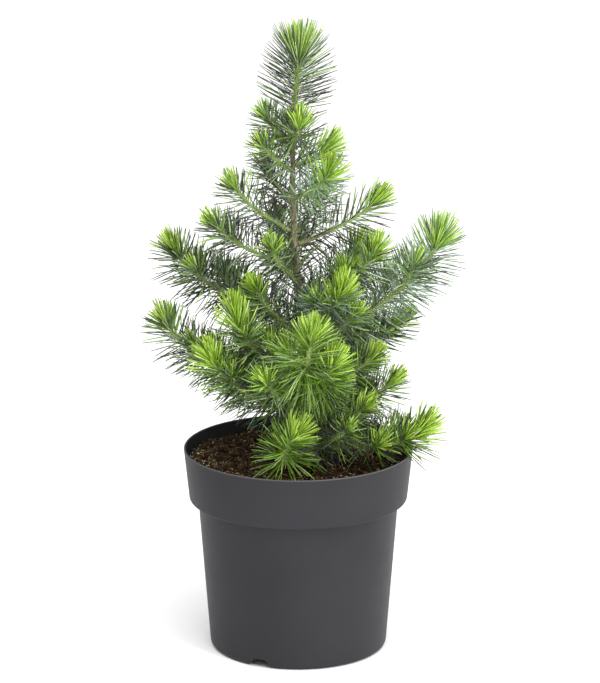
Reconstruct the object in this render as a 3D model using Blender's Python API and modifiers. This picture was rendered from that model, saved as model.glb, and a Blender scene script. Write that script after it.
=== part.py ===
"""A young stone pine in a round nursery pot.

The pot stands on z = 0 with its axis on the origin, and the usual view looks along +Y.
Sizes are in metres and angles in degrees. A bearing is measured in plan from +X, turning towards +Y.
"""

import math
import random
from collections import namedtuple

import bmesh
import bpy
import numpy as np
from mathutils import Matrix, Vector, noise

NAME = "potted_stone_pine"
MM = 0.001

# GAP parts neighbours. MERGE closes a turned shape, and WELD joins a tube's caps to its sides
GAP = 0.0003
MERGE = 0.0001
WELD = 0.00001

# Pot: a tapered body, a wide collar that steps out over it, and a flat foot with a groove round it
# that drains through notches
POT_SIDES = 32
POT_HEIGHT = 0.170
RIM_RADIUS = 0.095
COLLAR_FOOT_RADIUS = 0.0904
COLLAR_FOOT_Z = 0.1268
COLLAR_ROUND = 0.0014
BODY_TOP_RADIUS = 0.0831
BODY_TOP_Z = 0.1260
FOOT_RADIUS = 0.0733
FOOT_ROUND = 0.0025
POT_WALL = 0.0016
PAD_RADIUS = 0.044
GROOVE_DEPTH = 0.0075
GROOVE_SLOPE = 0.002
FOOT_RING = 0.005
NOTCH_COUNT = 3
NOTCH_BEARING = -115.5
NOTCH_FOOT_WIDTH = 0.0265
NOTCH_TOP_WIDTH = 0.0098
NOTCH_HEIGHT = 0.0071
NOTCH_INNER_RADIUS = 0.062
NOTCH_OVERRUN = 0.002

# Compost: fills the pot to a little below its rim
SOIL_LEVEL = POT_HEIGHT - 0.012
SOIL_RINGS = (0.028, 0.046, 0.064, 0.080)
SOIL_PAD_RADIUS = 0.012
SOIL_LUMP = 0.0022
SOIL_LUMP_SIZE = 0.018

# Trunk: leans left as it rises and comes back to upright at its tip
TRUNK_FOOT_Z = SOIL_LEVEL + GAP
TRUNK_TIP_Z = 0.455
TRUNK_FOOT_X = 0.012
TRUNK_LEAN = 0.0165
TRUNK_LEAN_END_Z = 0.390
TRUNK_RETURN = 0.0045
TRUNK_RETURN_Z = (0.430, 0.500)
TRUNK_FOOT_RADIUS = 0.0043
TRUNK_TIP_RADIUS = 0.0017
FLARE = 0.0026
FLARE_HEIGHT = 0.005
TRUNK_STATIONS = 16
TRUNK_CROWDING = 1.7
TRUNK_SIDES = 10

# Leader: the newest growth, which carries on above the trunk's tip
LEADER_APEX_Z = 0.499

# Shoots: how each limb bends, tapers and forks
START_DIP = 0.33
START_HANDLE = 0.42
END_HANDLE = 0.24
BEND_POINTS = 60
PATH_STEP = 0.0015
SEAT_STEP = 0.00005
END_PROBES = 12
STEM_TIP_RADIUS = 0.0014
STEM_GROWTH = 0.0062
BOUGH_SHARE = 0.30
BOUGH_SEGMENTS = 4
BOUGH_SIDES = 6
STEM_SIDES = 3
STEM_SEGMENT = 0.013
TWIG_RADIUS = 0.0012
TWIG_FIRST = 0.40
TWIG_SPACING = 0.20
TWIG_SPREAD = (38.0, 54.0)
TWIG_RISE = 14.0
TWIG_SHARE = (0.24, 0.32)
TWIG_SEGMENTS = 2

# Needles: set round each stem in a spiral, leaning less towards its tip, and smaller on a short shoot
NEEDLE_LENGTH = 0.0315
NEEDLE_LENGTH_SPREAD = 0.08
SHORT_SHOOT = (0.034, 0.074)
SHORT_SHOOT_SIZE = (0.76, 1.0)
NEEDLE_ROOT_RADIUS = 0.0004
NEEDLE_RADIUS = 0.0011
NEEDLE_WIDEST = 0.42
NEEDLE_SPACING = (0.0028, 0.0048)
SPACING_REACH = (0.040, 0.080)
TWIG_NEEDLE_SPACING = 0.0062
TWIG_TUFT_COUNT = 2
NEEDLE_TURN = 137.5
NEEDLE_LEAN_TIP = 20.0
NEEDLE_LEAN_OLD = 67.0
NEEDLE_LEAN_REACH = 0.012
NEEDLE_LEAN_SPREAD = 8.0
NEEDLE_ROOT_OFFSET = 0.0005
NEEDLE_TRIMS = (1.0, 0.72)
TUFT_COUNT = 4
TUFT_SIZE = 0.76
TUFT_LEAN = (16.0, 26.0)
TUFT_SPACING = 0.0011
SPACE_MARGIN = 0.0020
LIMB_MARGIN = 0.0016
POT_MARGIN = 0.0025
NEEDLE_PROBES = 10
NEEDLE_PROBE_FIRST = 0.1
TRUNK_PROBES = 200
SEED = 42

# Each shoot: where it leaves the trunk, its bearing, how far out and up its tip is (millimetres),
# how much steeper its tip is than its chord, its side twigs, and whether a bough carries it
Shoot = namedtuple("Shoot", "name join bearing reach rise lift twigs bough")
SHOOTS = (
    Shoot("top_left", 421, 178, 22, 31, 20, 0, False),
    Shoot("top_front", 428, -78, 28, 23, 22, 0, False),
    Shoot("top_front_left", 404, -134, 36, 29, 22, 0, False),
    Shoot("top_right", 407, 17, 28, 14, 30, 0, False),
    Shoot("top_back", 413, 96, 26, 24, 28, 0, False),
    Shoot("upper_front_right", 380, -48, 43, 30, 24, 0, False),
    Shoot("upper_back_left", 376, 122, 42, 24, 30, 0, False),
    Shoot("upper_left", 352, -166, 51, 44, 28, 0, False),
    Shoot("upper_back_right", 350, 64, 52, 28, 30, 0, False),
    Shoot("upper_right", 341, 15, 68, 34, 18, 0, True),
    Shoot("mid_left", 321, -165, 70, 44, 25, 0, True),
    Shoot("mid_back", 318, 104, 66, 30, 32, 1, True),
    Shoot("mid_front_left", 308, -118, 46, 44, 20, 0, False),
    Shoot("mid_back_right", 294, 50, 76, 34, 30, 1, True),
    Shoot("broad_front_right", 288, -26, 68, 60, 22, 1, True),
    Shoot("broad_left", 274, 169, 109, 62, 38, 2, True),
    Shoot("broad_front", 274, -64, 72, 52, 26, 1, True),
    Shoot("broad_back_left", 266, 134, 86, 34, 32, 1, True),
    Shoot("broad_right", 253, 6, 109, 89, 32, 2, True),
    Shoot("broad_back", 243, 86, 90, 32, 32, 1, True),
    Shoot("low_right", 232, 20, 84, 41, 12, 1, True),
    Shoot("low_front", 223, -88, 86, 67, 16, 2, True),
    Shoot("low_front_left", 219, -134, 86, 82, 28, 1, True),
    Shoot("low_back_right", 220, 58, 92, 30, 30, 1, True),
    Shoot("low_left", 210, -175, 119, 71, 40, 2, True),
    Shoot("low_back_left", 204, 122, 98, 32, 32, 1, True),
    Shoot("base_front", 198, -78, 70, 56, 22, 0, True),
    Shoot("base_front_left", 193, -144, 101, 72, 34, 1, True),
    Shoot("base_right", 192, 8, 68, 32, 24, 1, True),
    Shoot("base_front_right", 187, -40, 57, 30, 26, 0, False),
    Shoot("base_back", 180, 88, 88, 22, 30, 1, True),
    Shoot("rim_right", 169, -12, 91, 22, 28, 1, True),
    Shoot("rim_front", 168, -100, 79, 37, 14, 0, True),
)

# A mass's stem and its twigs as lines, with the sizes of the needles that they bear
Stem = namedtuple("Stem", "name line twigs needle_length tuft_size chance")

# Finishes: base colour, roughness and metallic value
FINISHES = {
    "pot_plastic": ((0.060, 0.060, 0.067), 0.42, 0.0),
    "compost": ((0.043, 0.024, 0.014), 0.95, 0.0),
    "bark": ((0.190, 0.130, 0.080), 0.85, 0.0),
    "needles": ((0.110, 0.300, 0.060), 0.55, 0.0),
}


def clear_scene():
    for thing in list(bpy.data.objects):
        bpy.data.objects.remove(thing, do_unlink=True)


def new_collection(name):
    made = bpy.data.collections.new(name)
    bpy.context.scene.collection.children.link(made)
    return made


def finish(name):
    """The material of that name, made on first use."""
    known = bpy.data.materials.get(name)
    if known:
        return known
    colour, roughness, metallic = FINISHES[name]
    made = bpy.data.materials.new(name)
    made.use_nodes = True
    shader = made.node_tree.nodes["Principled BSDF"]
    shader.inputs["Base Color"].default_value = (*colour, 1.0)
    shader.inputs["Roughness"].default_value = roughness
    shader.inputs["Metallic"].default_value = metallic
    made.diffuse_color = (*colour, 1.0)
    return made


def add_object(name, data, collection):
    made = bpy.data.objects.new(name, data)
    collection.objects.link(made)
    return made


def applied_mesh(source):
    """The object's evaluated mesh as plain data."""
    bpy.context.view_layer.update()
    graph = bpy.context.evaluated_depsgraph_get()
    return bpy.data.meshes.new_from_object(source.evaluated_get(graph))


def welded(mesh):
    """The mesh with its loose caps joined to its sides."""
    work = bmesh.new()
    work.from_mesh(mesh)
    bmesh.ops.remove_doubles(work, verts=work.verts, dist=WELD)
    work.to_mesh(mesh)
    work.free()
    return mesh


def replace_data(source, mesh):
    """Gives the object a plain mesh in place of its curve or modifiers."""
    made = bpy.data.objects.new("plain", mesh)
    for collection in source.users_collection:
        collection.objects.link(made)
    made.matrix_world = source.matrix_world.copy()
    name = source.name
    bpy.data.objects.remove(source, do_unlink=True)
    made.name = name
    return made


def shade_round(thing, angle=35.0):
    thing.data.shade_smooth()
    thing.data.set_sharp_from_angle(angle=math.radians(angle))


def turned(name, profile, sides, collection):
    """A solid of revolution from (radius, height) points that run down its outer side."""
    mesh = bpy.data.meshes.new(name)
    points = [(radius, 0.0, height) for radius, height in profile]
    mesh.from_pydata(points, [(i, i + 1) for i in range(len(points) - 1)], [])
    thing = add_object(name, mesh, collection)
    screw = thing.modifiers.new("turn", "SCREW")
    screw.axis = "Z"
    screw.steps = sides
    screw.render_steps = sides
    screw.use_merge_vertices = True
    screw.merge_threshold = MERGE
    return replace_data(thing, welded(applied_mesh(thing)))


def section_outline(sides):
    """A unit polygon that a limb's curve can take as its section, clockwise so that its skin faces out."""
    name = f"section_{sides}"
    known = bpy.data.objects.get(name)
    if known:
        return known
    curve = bpy.data.curves.new(name, "CURVE")
    spline = curve.splines.new("POLY")
    spline.points.add(sides - 1)
    for k, slot in enumerate(spline.points):
        turn = -2.0 * math.pi * k / sides
        slot.co = (math.cos(turn), math.sin(turn), 0.0, 1.0)
    spline.use_cyclic_u = True
    outline = add_object(name, curve, bpy.data.collections["cutters"])
    outline.hide_render = True
    outline.display_type = "WIRE"
    return outline


def tube(name, points, radii, collection, sides):
    """A limb through the points, with a radius at each, that many sides and flat ends."""
    curve = bpy.data.curves.new(name, "CURVE")
    curve.dimensions = "3D"
    curve.bevel_mode = "OBJECT"
    curve.bevel_object = section_outline(sides)
    curve.use_fill_caps = True
    spline = curve.splines.new("POLY")
    spline.points.add(len(points) - 1)
    for slot, point, radius in zip(spline.points, points, radii):
        slot.co = (*point, 1.0)
        slot.radius = radius
    thing = add_object(name, curve, collection)
    made = replace_data(thing, welded(applied_mesh(thing)))
    bpy.data.curves.remove(curve)
    return made


def smooth_step(share):
    share = min(max(share, 0.0), 1.0)
    return share * share * (3.0 - 2.0 * share)


# Pot


def pot_wall_radius(height):
    """Radius of the pot's outer face at a height."""
    heights = (0.0, BODY_TOP_Z, COLLAR_FOOT_Z, POT_HEIGHT)
    radii = (FOOT_RADIUS, BODY_TOP_RADIUS, COLLAR_FOOT_RADIUS, RIM_RADIUS)
    return float(np.interp(height, heights, radii))


def pot_inside():
    """Points down the pot's inner side, from the lip to the middle of its floor."""
    shelf = GROOVE_DEPTH + POT_WALL
    return [
        (RIM_RADIUS - POT_WALL, POT_HEIGHT),
        (COLLAR_FOOT_RADIUS - POT_WALL, COLLAR_FOOT_Z + POT_WALL),
        (BODY_TOP_RADIUS - POT_WALL, BODY_TOP_Z + POT_WALL / 2),
        (pot_wall_radius(shelf) - POT_WALL, shelf),
        (PAD_RADIUS + POT_WALL / 2, shelf),
        (PAD_RADIUS - POT_WALL, POT_WALL),
        (0.0, POT_WALL),
    ]


def pot_outside():
    """Points down the pot's outer side, from the lip to the middle of its underside."""
    ring_inner = FOOT_RADIUS - FOOT_RING
    return [
        (RIM_RADIUS, POT_HEIGHT - POT_WALL / 2),
        (COLLAR_FOOT_RADIUS, COLLAR_FOOT_Z + COLLAR_ROUND),
        (COLLAR_FOOT_RADIUS - COLLAR_ROUND, COLLAR_FOOT_Z),
        (BODY_TOP_RADIUS, BODY_TOP_Z),
        (pot_wall_radius(FOOT_ROUND), FOOT_ROUND),
        (FOOT_RADIUS - FOOT_ROUND, 0.0),
        (ring_inner, 0.0),
        (ring_inner - GROOVE_SLOPE, GROOVE_DEPTH),
        (PAD_RADIUS + GROOVE_SLOPE, GROOVE_DEPTH),
        (PAD_RADIUS, 0.0),
        (0.0, 0.0),
    ]


def notch_cutter(bearing, collection):
    """A wedge that opens the foot ring into the drain groove."""
    work = bmesh.new()
    bmesh.ops.create_cube(work, size=1.0)
    for corner in work.verts:
        top = corner.co.z > 0
        width = NOTCH_TOP_WIDTH if top else NOTCH_FOOT_WIDTH
        along = NOTCH_INNER_RADIUS if corner.co.x < 0 else FOOT_RADIUS + NOTCH_OVERRUN
        across = math.copysign(width / 2, corner.co.y)
        corner.co = (along, across, NOTCH_HEIGHT if top else -NOTCH_OVERRUN)
    mesh = bpy.data.meshes.new("notch_cutter")
    work.to_mesh(mesh)
    work.free()
    cutter = add_object("notch_cutter", mesh, collection)
    cutter.rotation_euler.z = math.radians(bearing)
    cutter.hide_render = True
    cutter.display_type = "WIRE"
    return cutter


def build_pot(parts, cutters):
    profile = list(reversed(pot_inside())) + pot_outside()
    pot = turned("pot", profile, POT_SIDES, parts)
    for k in range(NOTCH_COUNT):
        cutter = notch_cutter(NOTCH_BEARING + k * 360.0 / NOTCH_COUNT, cutters)
        cut = pot.modifiers.new(f"notch_{k}", "BOOLEAN")
        cut.operation = "DIFFERENCE"
        cut.object = cutter
    pot.data.materials.append(finish("pot_plastic"))
    shade_round(pot)


# Compost


def build_soil(parts):
    inside = pot_inside()
    lip_radius = float(np.interp(SOIL_LEVEL, (COLLAR_FOOT_Z, POT_HEIGHT), (inside[1][0], inside[0][0])))
    profile = [(0.0, SOIL_LEVEL), (SOIL_PAD_RADIUS, SOIL_LEVEL)]
    profile += [(radius, SOIL_LEVEL) for radius in SOIL_RINGS]
    profile.append((lip_radius - GAP, SOIL_LEVEL))
    profile += [(radius - GAP, height + GAP) for radius, height in inside[1:-1]]
    profile.append((0.0, inside[-1][1] + GAP))
    soil = turned("soil", profile, POT_SIDES, parts)
    for point in soil.data.vertices:
        out = math.hypot(point.co.x - TRUNK_FOOT_X, point.co.y)
        if point.co.z < SOIL_LEVEL - MERGE or out < SOIL_PAD_RADIUS * 2:
            continue
        lump = noise.noise(point.co / SOIL_LUMP_SIZE)
        point.co.z += SOIL_LUMP * lump - SOIL_LUMP / 2
    soil.data.materials.append(finish("compost"))
    shade_round(soil)


# Trunk


def trunk_axis(height):
    """The middle of the trunk or leader at a height."""
    fallen = smooth_step((height - SOIL_LEVEL) / (TRUNK_LEAN_END_Z - SOIL_LEVEL))
    low, high = TRUNK_RETURN_Z
    back = smooth_step((height - low) / (high - low))
    return Vector((TRUNK_FOOT_X - TRUNK_LEAN * fallen + TRUNK_RETURN * back, 0.0, height))


def trunk_radius(height):
    share = (height - TRUNK_FOOT_Z) / (TRUNK_TIP_Z - TRUNK_FOOT_Z)
    taper = TRUNK_FOOT_RADIUS + (TRUNK_TIP_RADIUS - TRUNK_FOOT_RADIUS) * share
    return taper + FLARE * math.exp(-(height - TRUNK_FOOT_Z) / FLARE_HEIGHT)


def build_trunk(parts):
    shares = [(k / TRUNK_STATIONS) ** TRUNK_CROWDING for k in range(TRUNK_STATIONS + 1)]
    heights = [TRUNK_FOOT_Z + share * (TRUNK_TIP_Z - TRUNK_FOOT_Z) for share in shares]
    points = [trunk_axis(height) for height in heights]
    trunk = tube("trunk", points, [trunk_radius(height) for height in heights], parts, TRUNK_SIDES)
    trunk.data.materials.append(finish("bark"))
    shade_round(trunk)


# Shoots: their lines


def direction(bearing, pitch):
    flat = math.cos(math.radians(pitch))
    turn = math.radians(bearing)
    return Vector((flat * math.cos(turn), flat * math.sin(turn), math.sin(math.radians(pitch))))


def even_steps(points, step):
    """The same line with points at equal steps along it."""
    line = np.array(points)
    lengths = np.concatenate(([0.0], np.cumsum(np.linalg.norm(np.diff(line, axis=0), axis=1))))
    count = max(2, round(lengths[-1] / step) + 1)
    stations = np.linspace(0.0, lengths[-1], count)
    return np.stack([np.interp(stations, lengths, line[:, axis]) for axis in range(3)], axis=1)


def bend(start, start_way, end, end_way):
    """A smooth line from start to end that leaves and arrives along the two ways."""
    chord = (end - start).length
    first = start + start_way * chord * START_HANDLE
    last = end - end_way * chord * END_HANDLE
    shares = np.linspace(0.0, 1.0, BEND_POINTS)[:, None]
    back = 1.0 - shares
    points = back**3 * np.array(start) + 3 * back**2 * shares * np.array(first)
    points = points + 3 * back * shares**2 * np.array(last) + shares**3 * np.array(end)
    return even_steps(points, PATH_STEP)


def line_length(line):
    return float(np.linalg.norm(np.diff(line, axis=0), axis=1).sum())


def root_radius(line):
    """Radius of a stem at its foot: a longer one is thicker."""
    return STEM_TIP_RADIUS + STEM_GROWTH * line_length(line)


def part_of(line, first, last):
    """The stretch of the line between two shares of its length, with exact ends."""
    stations = np.linspace(0.0, 1.0, len(line))
    inside = stations[(stations > first) & (stations < last)]
    wanted = np.concatenate(([first], inside, [last]))
    return np.stack([np.interp(wanted, stations, line[:, axis]) for axis in range(3)], axis=1)


def end_clearance(centre, way, radius):
    """How far the flat end of a limb, set square to its way, stands off the trunk's skin."""
    across = way.orthogonal().normalized()
    gaps = []
    for k in range(END_PROBES):
        rim = centre + Matrix.Rotation(2.0 * math.pi * k / END_PROBES, 3, way) @ across * radius
        axis = trunk_axis(rim.z)
        gaps.append(math.hypot(rim.x - axis.x, rim.y - axis.y) - trunk_radius(rim.z))
    return min(gaps)


def seated(line):
    """The line without its stretch inside the trunk: its end is set just off the trunk's skin."""
    radius = root_radius(line)
    way = Vector(line[1] - line[0]).normalized()
    stations = np.arange(0.0, line_length(line), SEAT_STEP)
    for station in stations:
        cut = part_of(line, station / line_length(line), 1.0)
        if end_clearance(Vector(cut[0]), way, radius) >= GAP:
            break
    return cut


def shoot_line(shoot):
    """The shoot's line from the trunk's surface to its tip."""
    foot = trunk_axis(shoot.join * MM)
    chord_pitch = math.degrees(math.atan2(shoot.rise, shoot.reach))
    tip = foot + direction(shoot.bearing, 0.0) * shoot.reach * MM + Vector((0.0, 0.0, shoot.rise * MM))
    leaving = direction(shoot.bearing, chord_pitch - shoot.lift * START_DIP)
    return seated(bend(foot, leaving, tip, direction(shoot.bearing, chord_pitch + shoot.lift)))


def leader_line():
    low = TRUNK_TIP_Z + GAP
    heights = np.linspace(low, LEADER_APEX_Z, round((LEADER_APEX_Z - low) / PATH_STEP))
    return np.array([trunk_axis(height) for height in heights])


def twig_lines(shoot, line, chance):
    """Side twigs: they leave the stem on alternate sides and turn up like it."""
    lines = []
    side = chance.choice((-1, 1))
    for k in range(shoot.twigs):
        at = TWIG_FIRST + k * TWIG_SPACING
        index = round(at * (len(line) - 1))
        way = Vector(line[index + 1] - line[index - 1]).normalized()
        bearing = math.degrees(math.atan2(way.y, way.x)) + side * chance.uniform(*TWIG_SPREAD)
        pitch = math.degrees(math.asin(way.z)) + TWIG_RISE
        length = line_length(line) * chance.uniform(*TWIG_SHARE)
        start = Vector(line[index])
        leaving = direction(bearing, pitch - TWIG_RISE)
        tip = start + direction(bearing, pitch) * length
        lines.append(bend(start, leaving, tip, direction(bearing, pitch + TWIG_RISE)))
        side = -side
    return lines


# Needles


def needle_stations(length, spacing, tuft_count, tuft_size, chance):
    """Distance along the stem, lean and share of full size of each needle, from its foot to its tip."""
    stations = []
    station = spacing
    while station < length - TUFT_SPACING * (tuft_count + 1):
        from_tip = math.exp(-(length - station) / NEEDLE_LEAN_REACH)
        lean = NEEDLE_LEAN_OLD + (NEEDLE_LEAN_TIP - NEEDLE_LEAN_OLD) * from_tip
        stations.append((station, lean + chance.uniform(-1, 1) * NEEDLE_LEAN_SPREAD, 1.0))
        station += spacing
    for k in range(tuft_count, 0, -1):
        stations.append((length - TUFT_SPACING * k, chance.uniform(*TUFT_LEAN), tuft_size))
    stations.append((length - TUFT_SPACING, 0.0, tuft_size))
    return stations


def needles_on(line, stations, full_length, chance):
    """Root and tip of each needle, turned round the line in a spiral."""
    length = line_length(line)
    turn = chance.uniform(0.0, 360.0)
    needles = []
    for station, lean, size in stations:
        turn += NEEDLE_TURN
        index = min(int(station / length * (len(line) - 1)), len(line) - 2)
        way = Vector(line[index + 1] - line[index]).normalized()
        across = way.orthogonal().normalized()
        across.rotate(Matrix.Rotation(math.radians(turn), 3, way))
        angle = math.radians(lean)
        root = Vector(line[index]) + across * NEEDLE_ROOT_OFFSET * math.sin(angle)
        span = full_length * size * (1.0 + chance.uniform(-1, 1) * NEEDLE_LENGTH_SPREAD)
        needles.append((root, root + (way * math.cos(angle) + across * math.sin(angle)) * span))
    return needles


def clear_of_pot(point):
    """Whether a needle's point stays above the compost and off the pot's wall."""
    out = math.hypot(point[0], point[1])
    if out > RIM_RADIUS + POT_MARGIN:
        return True
    if out > RIM_RADIUS - POT_WALL - POT_MARGIN:
        return point[2] > POT_HEIGHT + POT_MARGIN
    return point[2] > SOIL_LEVEL + POT_MARGIN


class Crown:
    """Knows every stem and limb, so that each needle can be kept to its own mass's space."""

    def __init__(self):
        self.stem_points = []
        self.stem_owners = []
        self.limb_points = []
        self.limb_radii = []

    def add_stem(self, owner, line):
        self.stem_points.extend(line)
        self.stem_owners.extend([owner] * len(line))

    def add_limb(self, line, radii):
        self.limb_points.extend(line)
        self.limb_radii.extend(radii)

    def settle(self):
        self.stem_points = np.array(self.stem_points)
        self.stem_owners = np.array(self.stem_owners)
        self.limb_points = np.array(self.limb_points)
        self.limb_radii = np.array(self.limb_radii)

    def clear_of_limbs(self, point):
        near = np.linalg.norm(self.limb_points - point, axis=1) - self.limb_radii
        return near.min() > LIMB_MARGIN

    def in_own_space(self, point, owner):
        near = np.linalg.norm(self.stem_points - point, axis=1)
        own = self.stem_owners == owner
        return near[~own].min() - near[own].min() > SPACE_MARGIN

    def allows(self, root, tip, owner):
        for share in np.linspace(NEEDLE_PROBE_FIRST, 1.0, NEEDLE_PROBES):
            point = np.array(root.lerp(tip, share))
            if not clear_of_pot(point) or not self.clear_of_limbs(point):
                return False
            if not self.in_own_space(point, owner):
                return False
        return True


def add_needle(shape, root, tip, collection):
    """One needle: the shared pointed shape, laid from its root to its tip."""
    way = tip - root
    needle = add_object("needle", shape, collection)
    turn = way.to_track_quat("Z", "Y").to_matrix().to_4x4()
    needle.matrix_world = Matrix.Translation(root) @ turn @ Matrix.Diagonal((1.0, 1.0, way.length, 1.0))


def needle_shape():
    """A three-sided needle, one unit long: slim at its root, widest part of the way up, then pointed."""
    work = bmesh.new()
    bmesh.ops.create_cone(
        work,
        cap_ends=True,
        segments=3,
        radius1=NEEDLE_ROOT_RADIUS,
        radius2=NEEDLE_RADIUS,
        depth=NEEDLE_WIDEST,
        matrix=Matrix.Translation((0.0, 0.0, NEEDLE_WIDEST / 2)),
    )
    top = max(work.faces, key=lambda face: face.calc_center_median().z)
    point = bmesh.ops.poke(work, faces=[top])["verts"][0]
    point.co.z = 1.0
    mesh = bpy.data.meshes.new("needle")
    work.to_mesh(mesh)
    work.free()
    return mesh


def keep_outer_shell(mesh):
    """Fills sealed hollows and drops loose scraps by keeping only the widest connected shell."""
    work = bmesh.new()
    work.from_mesh(mesh)
    left = set(work.verts)
    shells = []
    while left:
        waiting = [left.pop()]
        shell = set(waiting)
        while waiting:
            point = waiting.pop()
            for edge in point.link_edges:
                other = edge.other_vert(point)
                if other not in shell:
                    shell.add(other)
                    waiting.append(other)
        left -= shell
        shells.append(shell)
    shells.sort(key=len, reverse=True)
    for shell in shells[1:]:
        bmesh.ops.delete(work, geom=list(shell), context="VERTS")
    bmesh.ops.triangulate(work, faces=work.faces)
    open_edges = sum(not edge.is_manifold for edge in work.edges)
    work.to_mesh(mesh)
    work.free()
    return open_edges == 0


def union(stem, pieces, solver):
    join = stem.modifiers.new("join", "BOOLEAN")
    join.operation = "UNION"
    join.operand_type = "COLLECTION"
    join.collection = pieces
    join.solver = solver
    mesh = applied_mesh(stem)
    stem.modifiers.remove(join)
    return mesh


def stem_needles(stem):
    """Every needle that the stem and its twigs would bear if they had room."""
    length = line_length(stem.line)
    spacing = float(np.interp(length, SPACING_REACH, NEEDLE_SPACING))
    stations = needle_stations(length, spacing, TUFT_COUNT, stem.tuft_size, stem.chance)
    needles = needles_on(stem.line, stations, stem.needle_length, stem.chance)
    for twig in stem.twigs:
        spacing = TWIG_NEEDLE_SPACING
        stations = needle_stations(line_length(twig), spacing, TWIG_TUFT_COUNT, TUFT_SIZE, stem.chance)
        needles += needles_on(twig, stations, stem.needle_length, stem.chance)
    return needles


def build_mass(owner, stem, crown, shape, parts):
    """One mass of foliage: a stem, its twigs and their needles as a single solid."""
    length = line_length(stem.line)
    line = even_steps(stem.line, length / max(3, round(length / STEM_SEGMENT)))
    radii = np.linspace(root_radius(line), STEM_TIP_RADIUS, len(line))
    core = tube("foliage_" + stem.name, line, radii, parts, STEM_SIDES)
    pieces = new_collection("sprays")
    for twig in stem.twigs:
        twig_line = even_steps(twig, line_length(twig) / TWIG_SEGMENTS)
        tube("twig", twig_line, [TWIG_RADIUS] * len(twig_line), pieces, STEM_SIDES)
    for root, tip in stem_needles(stem):
        for trim in NEEDLE_TRIMS:
            end = root.lerp(tip, trim)
            if crown.allows(root, end, owner):
                add_needle(shape, root, end, pieces)
                break
    mesh = union(core, pieces, "EXACT")
    if not keep_outer_shell(mesh):
        mesh = union(core, pieces, "MANIFOLD")
        keep_outer_shell(mesh)
    for piece in list(pieces.objects):
        bpy.data.objects.remove(piece, do_unlink=True)
    bpy.data.collections.remove(pieces)
    foliage = replace_data(core, mesh)
    foliage.data.materials.clear()
    foliage.data.materials.append(finish("needles"))


# Boughs


def build_bough(name, line, radii, parts):
    """One tapering limb, from the trunk to where its foliage begins."""
    stations = even_steps(line, line_length(line) / BOUGH_SEGMENTS)
    bough = tube(name, stations, np.linspace(*radii, len(stations)), parts, BOUGH_SIDES)
    bough.data.materials.append(finish("bark"))
    shade_round(bough)


def split_shoot(shoot, line, crown, parts):
    """Builds the shoot's bough, and gives back the rest of its line for the foliage to grow on."""
    half_gap = GAP / line_length(line) / 2
    carried = part_of(line, 0.0, BOUGH_SHARE - half_gap)
    thick = root_radius(line)
    thin = thick + (STEM_TIP_RADIUS - thick) * BOUGH_SHARE
    crown.add_limb(carried, np.linspace(thick, thin, len(carried)))
    build_bough("bough_" + shoot.name, carried, (thick, thin), parts)
    return part_of(line, BOUGH_SHARE + half_gap, 1.0)


def grow_stem(shoot, number, crown, parts):
    """The stem and twigs of one shoot, with its bough built."""
    chance = random.Random(SEED + number)
    line = shoot_line(shoot)
    twigs = twig_lines(shoot, line, chance)
    size = float(np.interp(line_length(line), SHORT_SHOOT, SHORT_SHOOT_SIZE))
    if shoot.bough:
        line = split_shoot(shoot, line, crown, parts)
    return Stem(shoot.name, line, twigs, NEEDLE_LENGTH * size, TUFT_SIZE, chance)


def build_crown(parts):
    crown = Crown()
    heights = np.linspace(TRUNK_FOOT_Z, TRUNK_TIP_Z, TRUNK_PROBES)
    crown.add_limb([trunk_axis(h) for h in heights], [trunk_radius(h) for h in heights])
    stems = [Stem("leader", leader_line(), [], NEEDLE_LENGTH, 1.0, random.Random(SEED))]
    for number, shoot in enumerate(SHOOTS, start=1):
        stems.append(grow_stem(shoot, number, crown, parts))
    for owner, stem in enumerate(stems):
        for line in [stem.line, *stem.twigs]:
            crown.add_stem(owner, line)
    crown.settle()
    shape = needle_shape()
    for owner, stem in enumerate(stems):
        build_mass(owner, stem, crown, shape, parts)


def main():
    clear_scene()
    parts = new_collection(NAME)
    cutters = new_collection("cutters")
    build_pot(parts, cutters)
    build_soil(parts)
    build_trunk(parts)
    build_crown(parts)


main()
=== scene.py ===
"""The looks of a young stone pine in a nursery pot, grown round its packed frame.

Sizes are in metres and angles in degrees. A bearing is measured in plan from +X, turning towards +Y.
"""

import math
import random
from collections import namedtuple

import bmesh
import bpy
import numpy as np
from bpy.props import FloatProperty, FloatVectorProperty, IntProperty, PointerProperty
from mathutils import Matrix, Vector, noise


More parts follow.
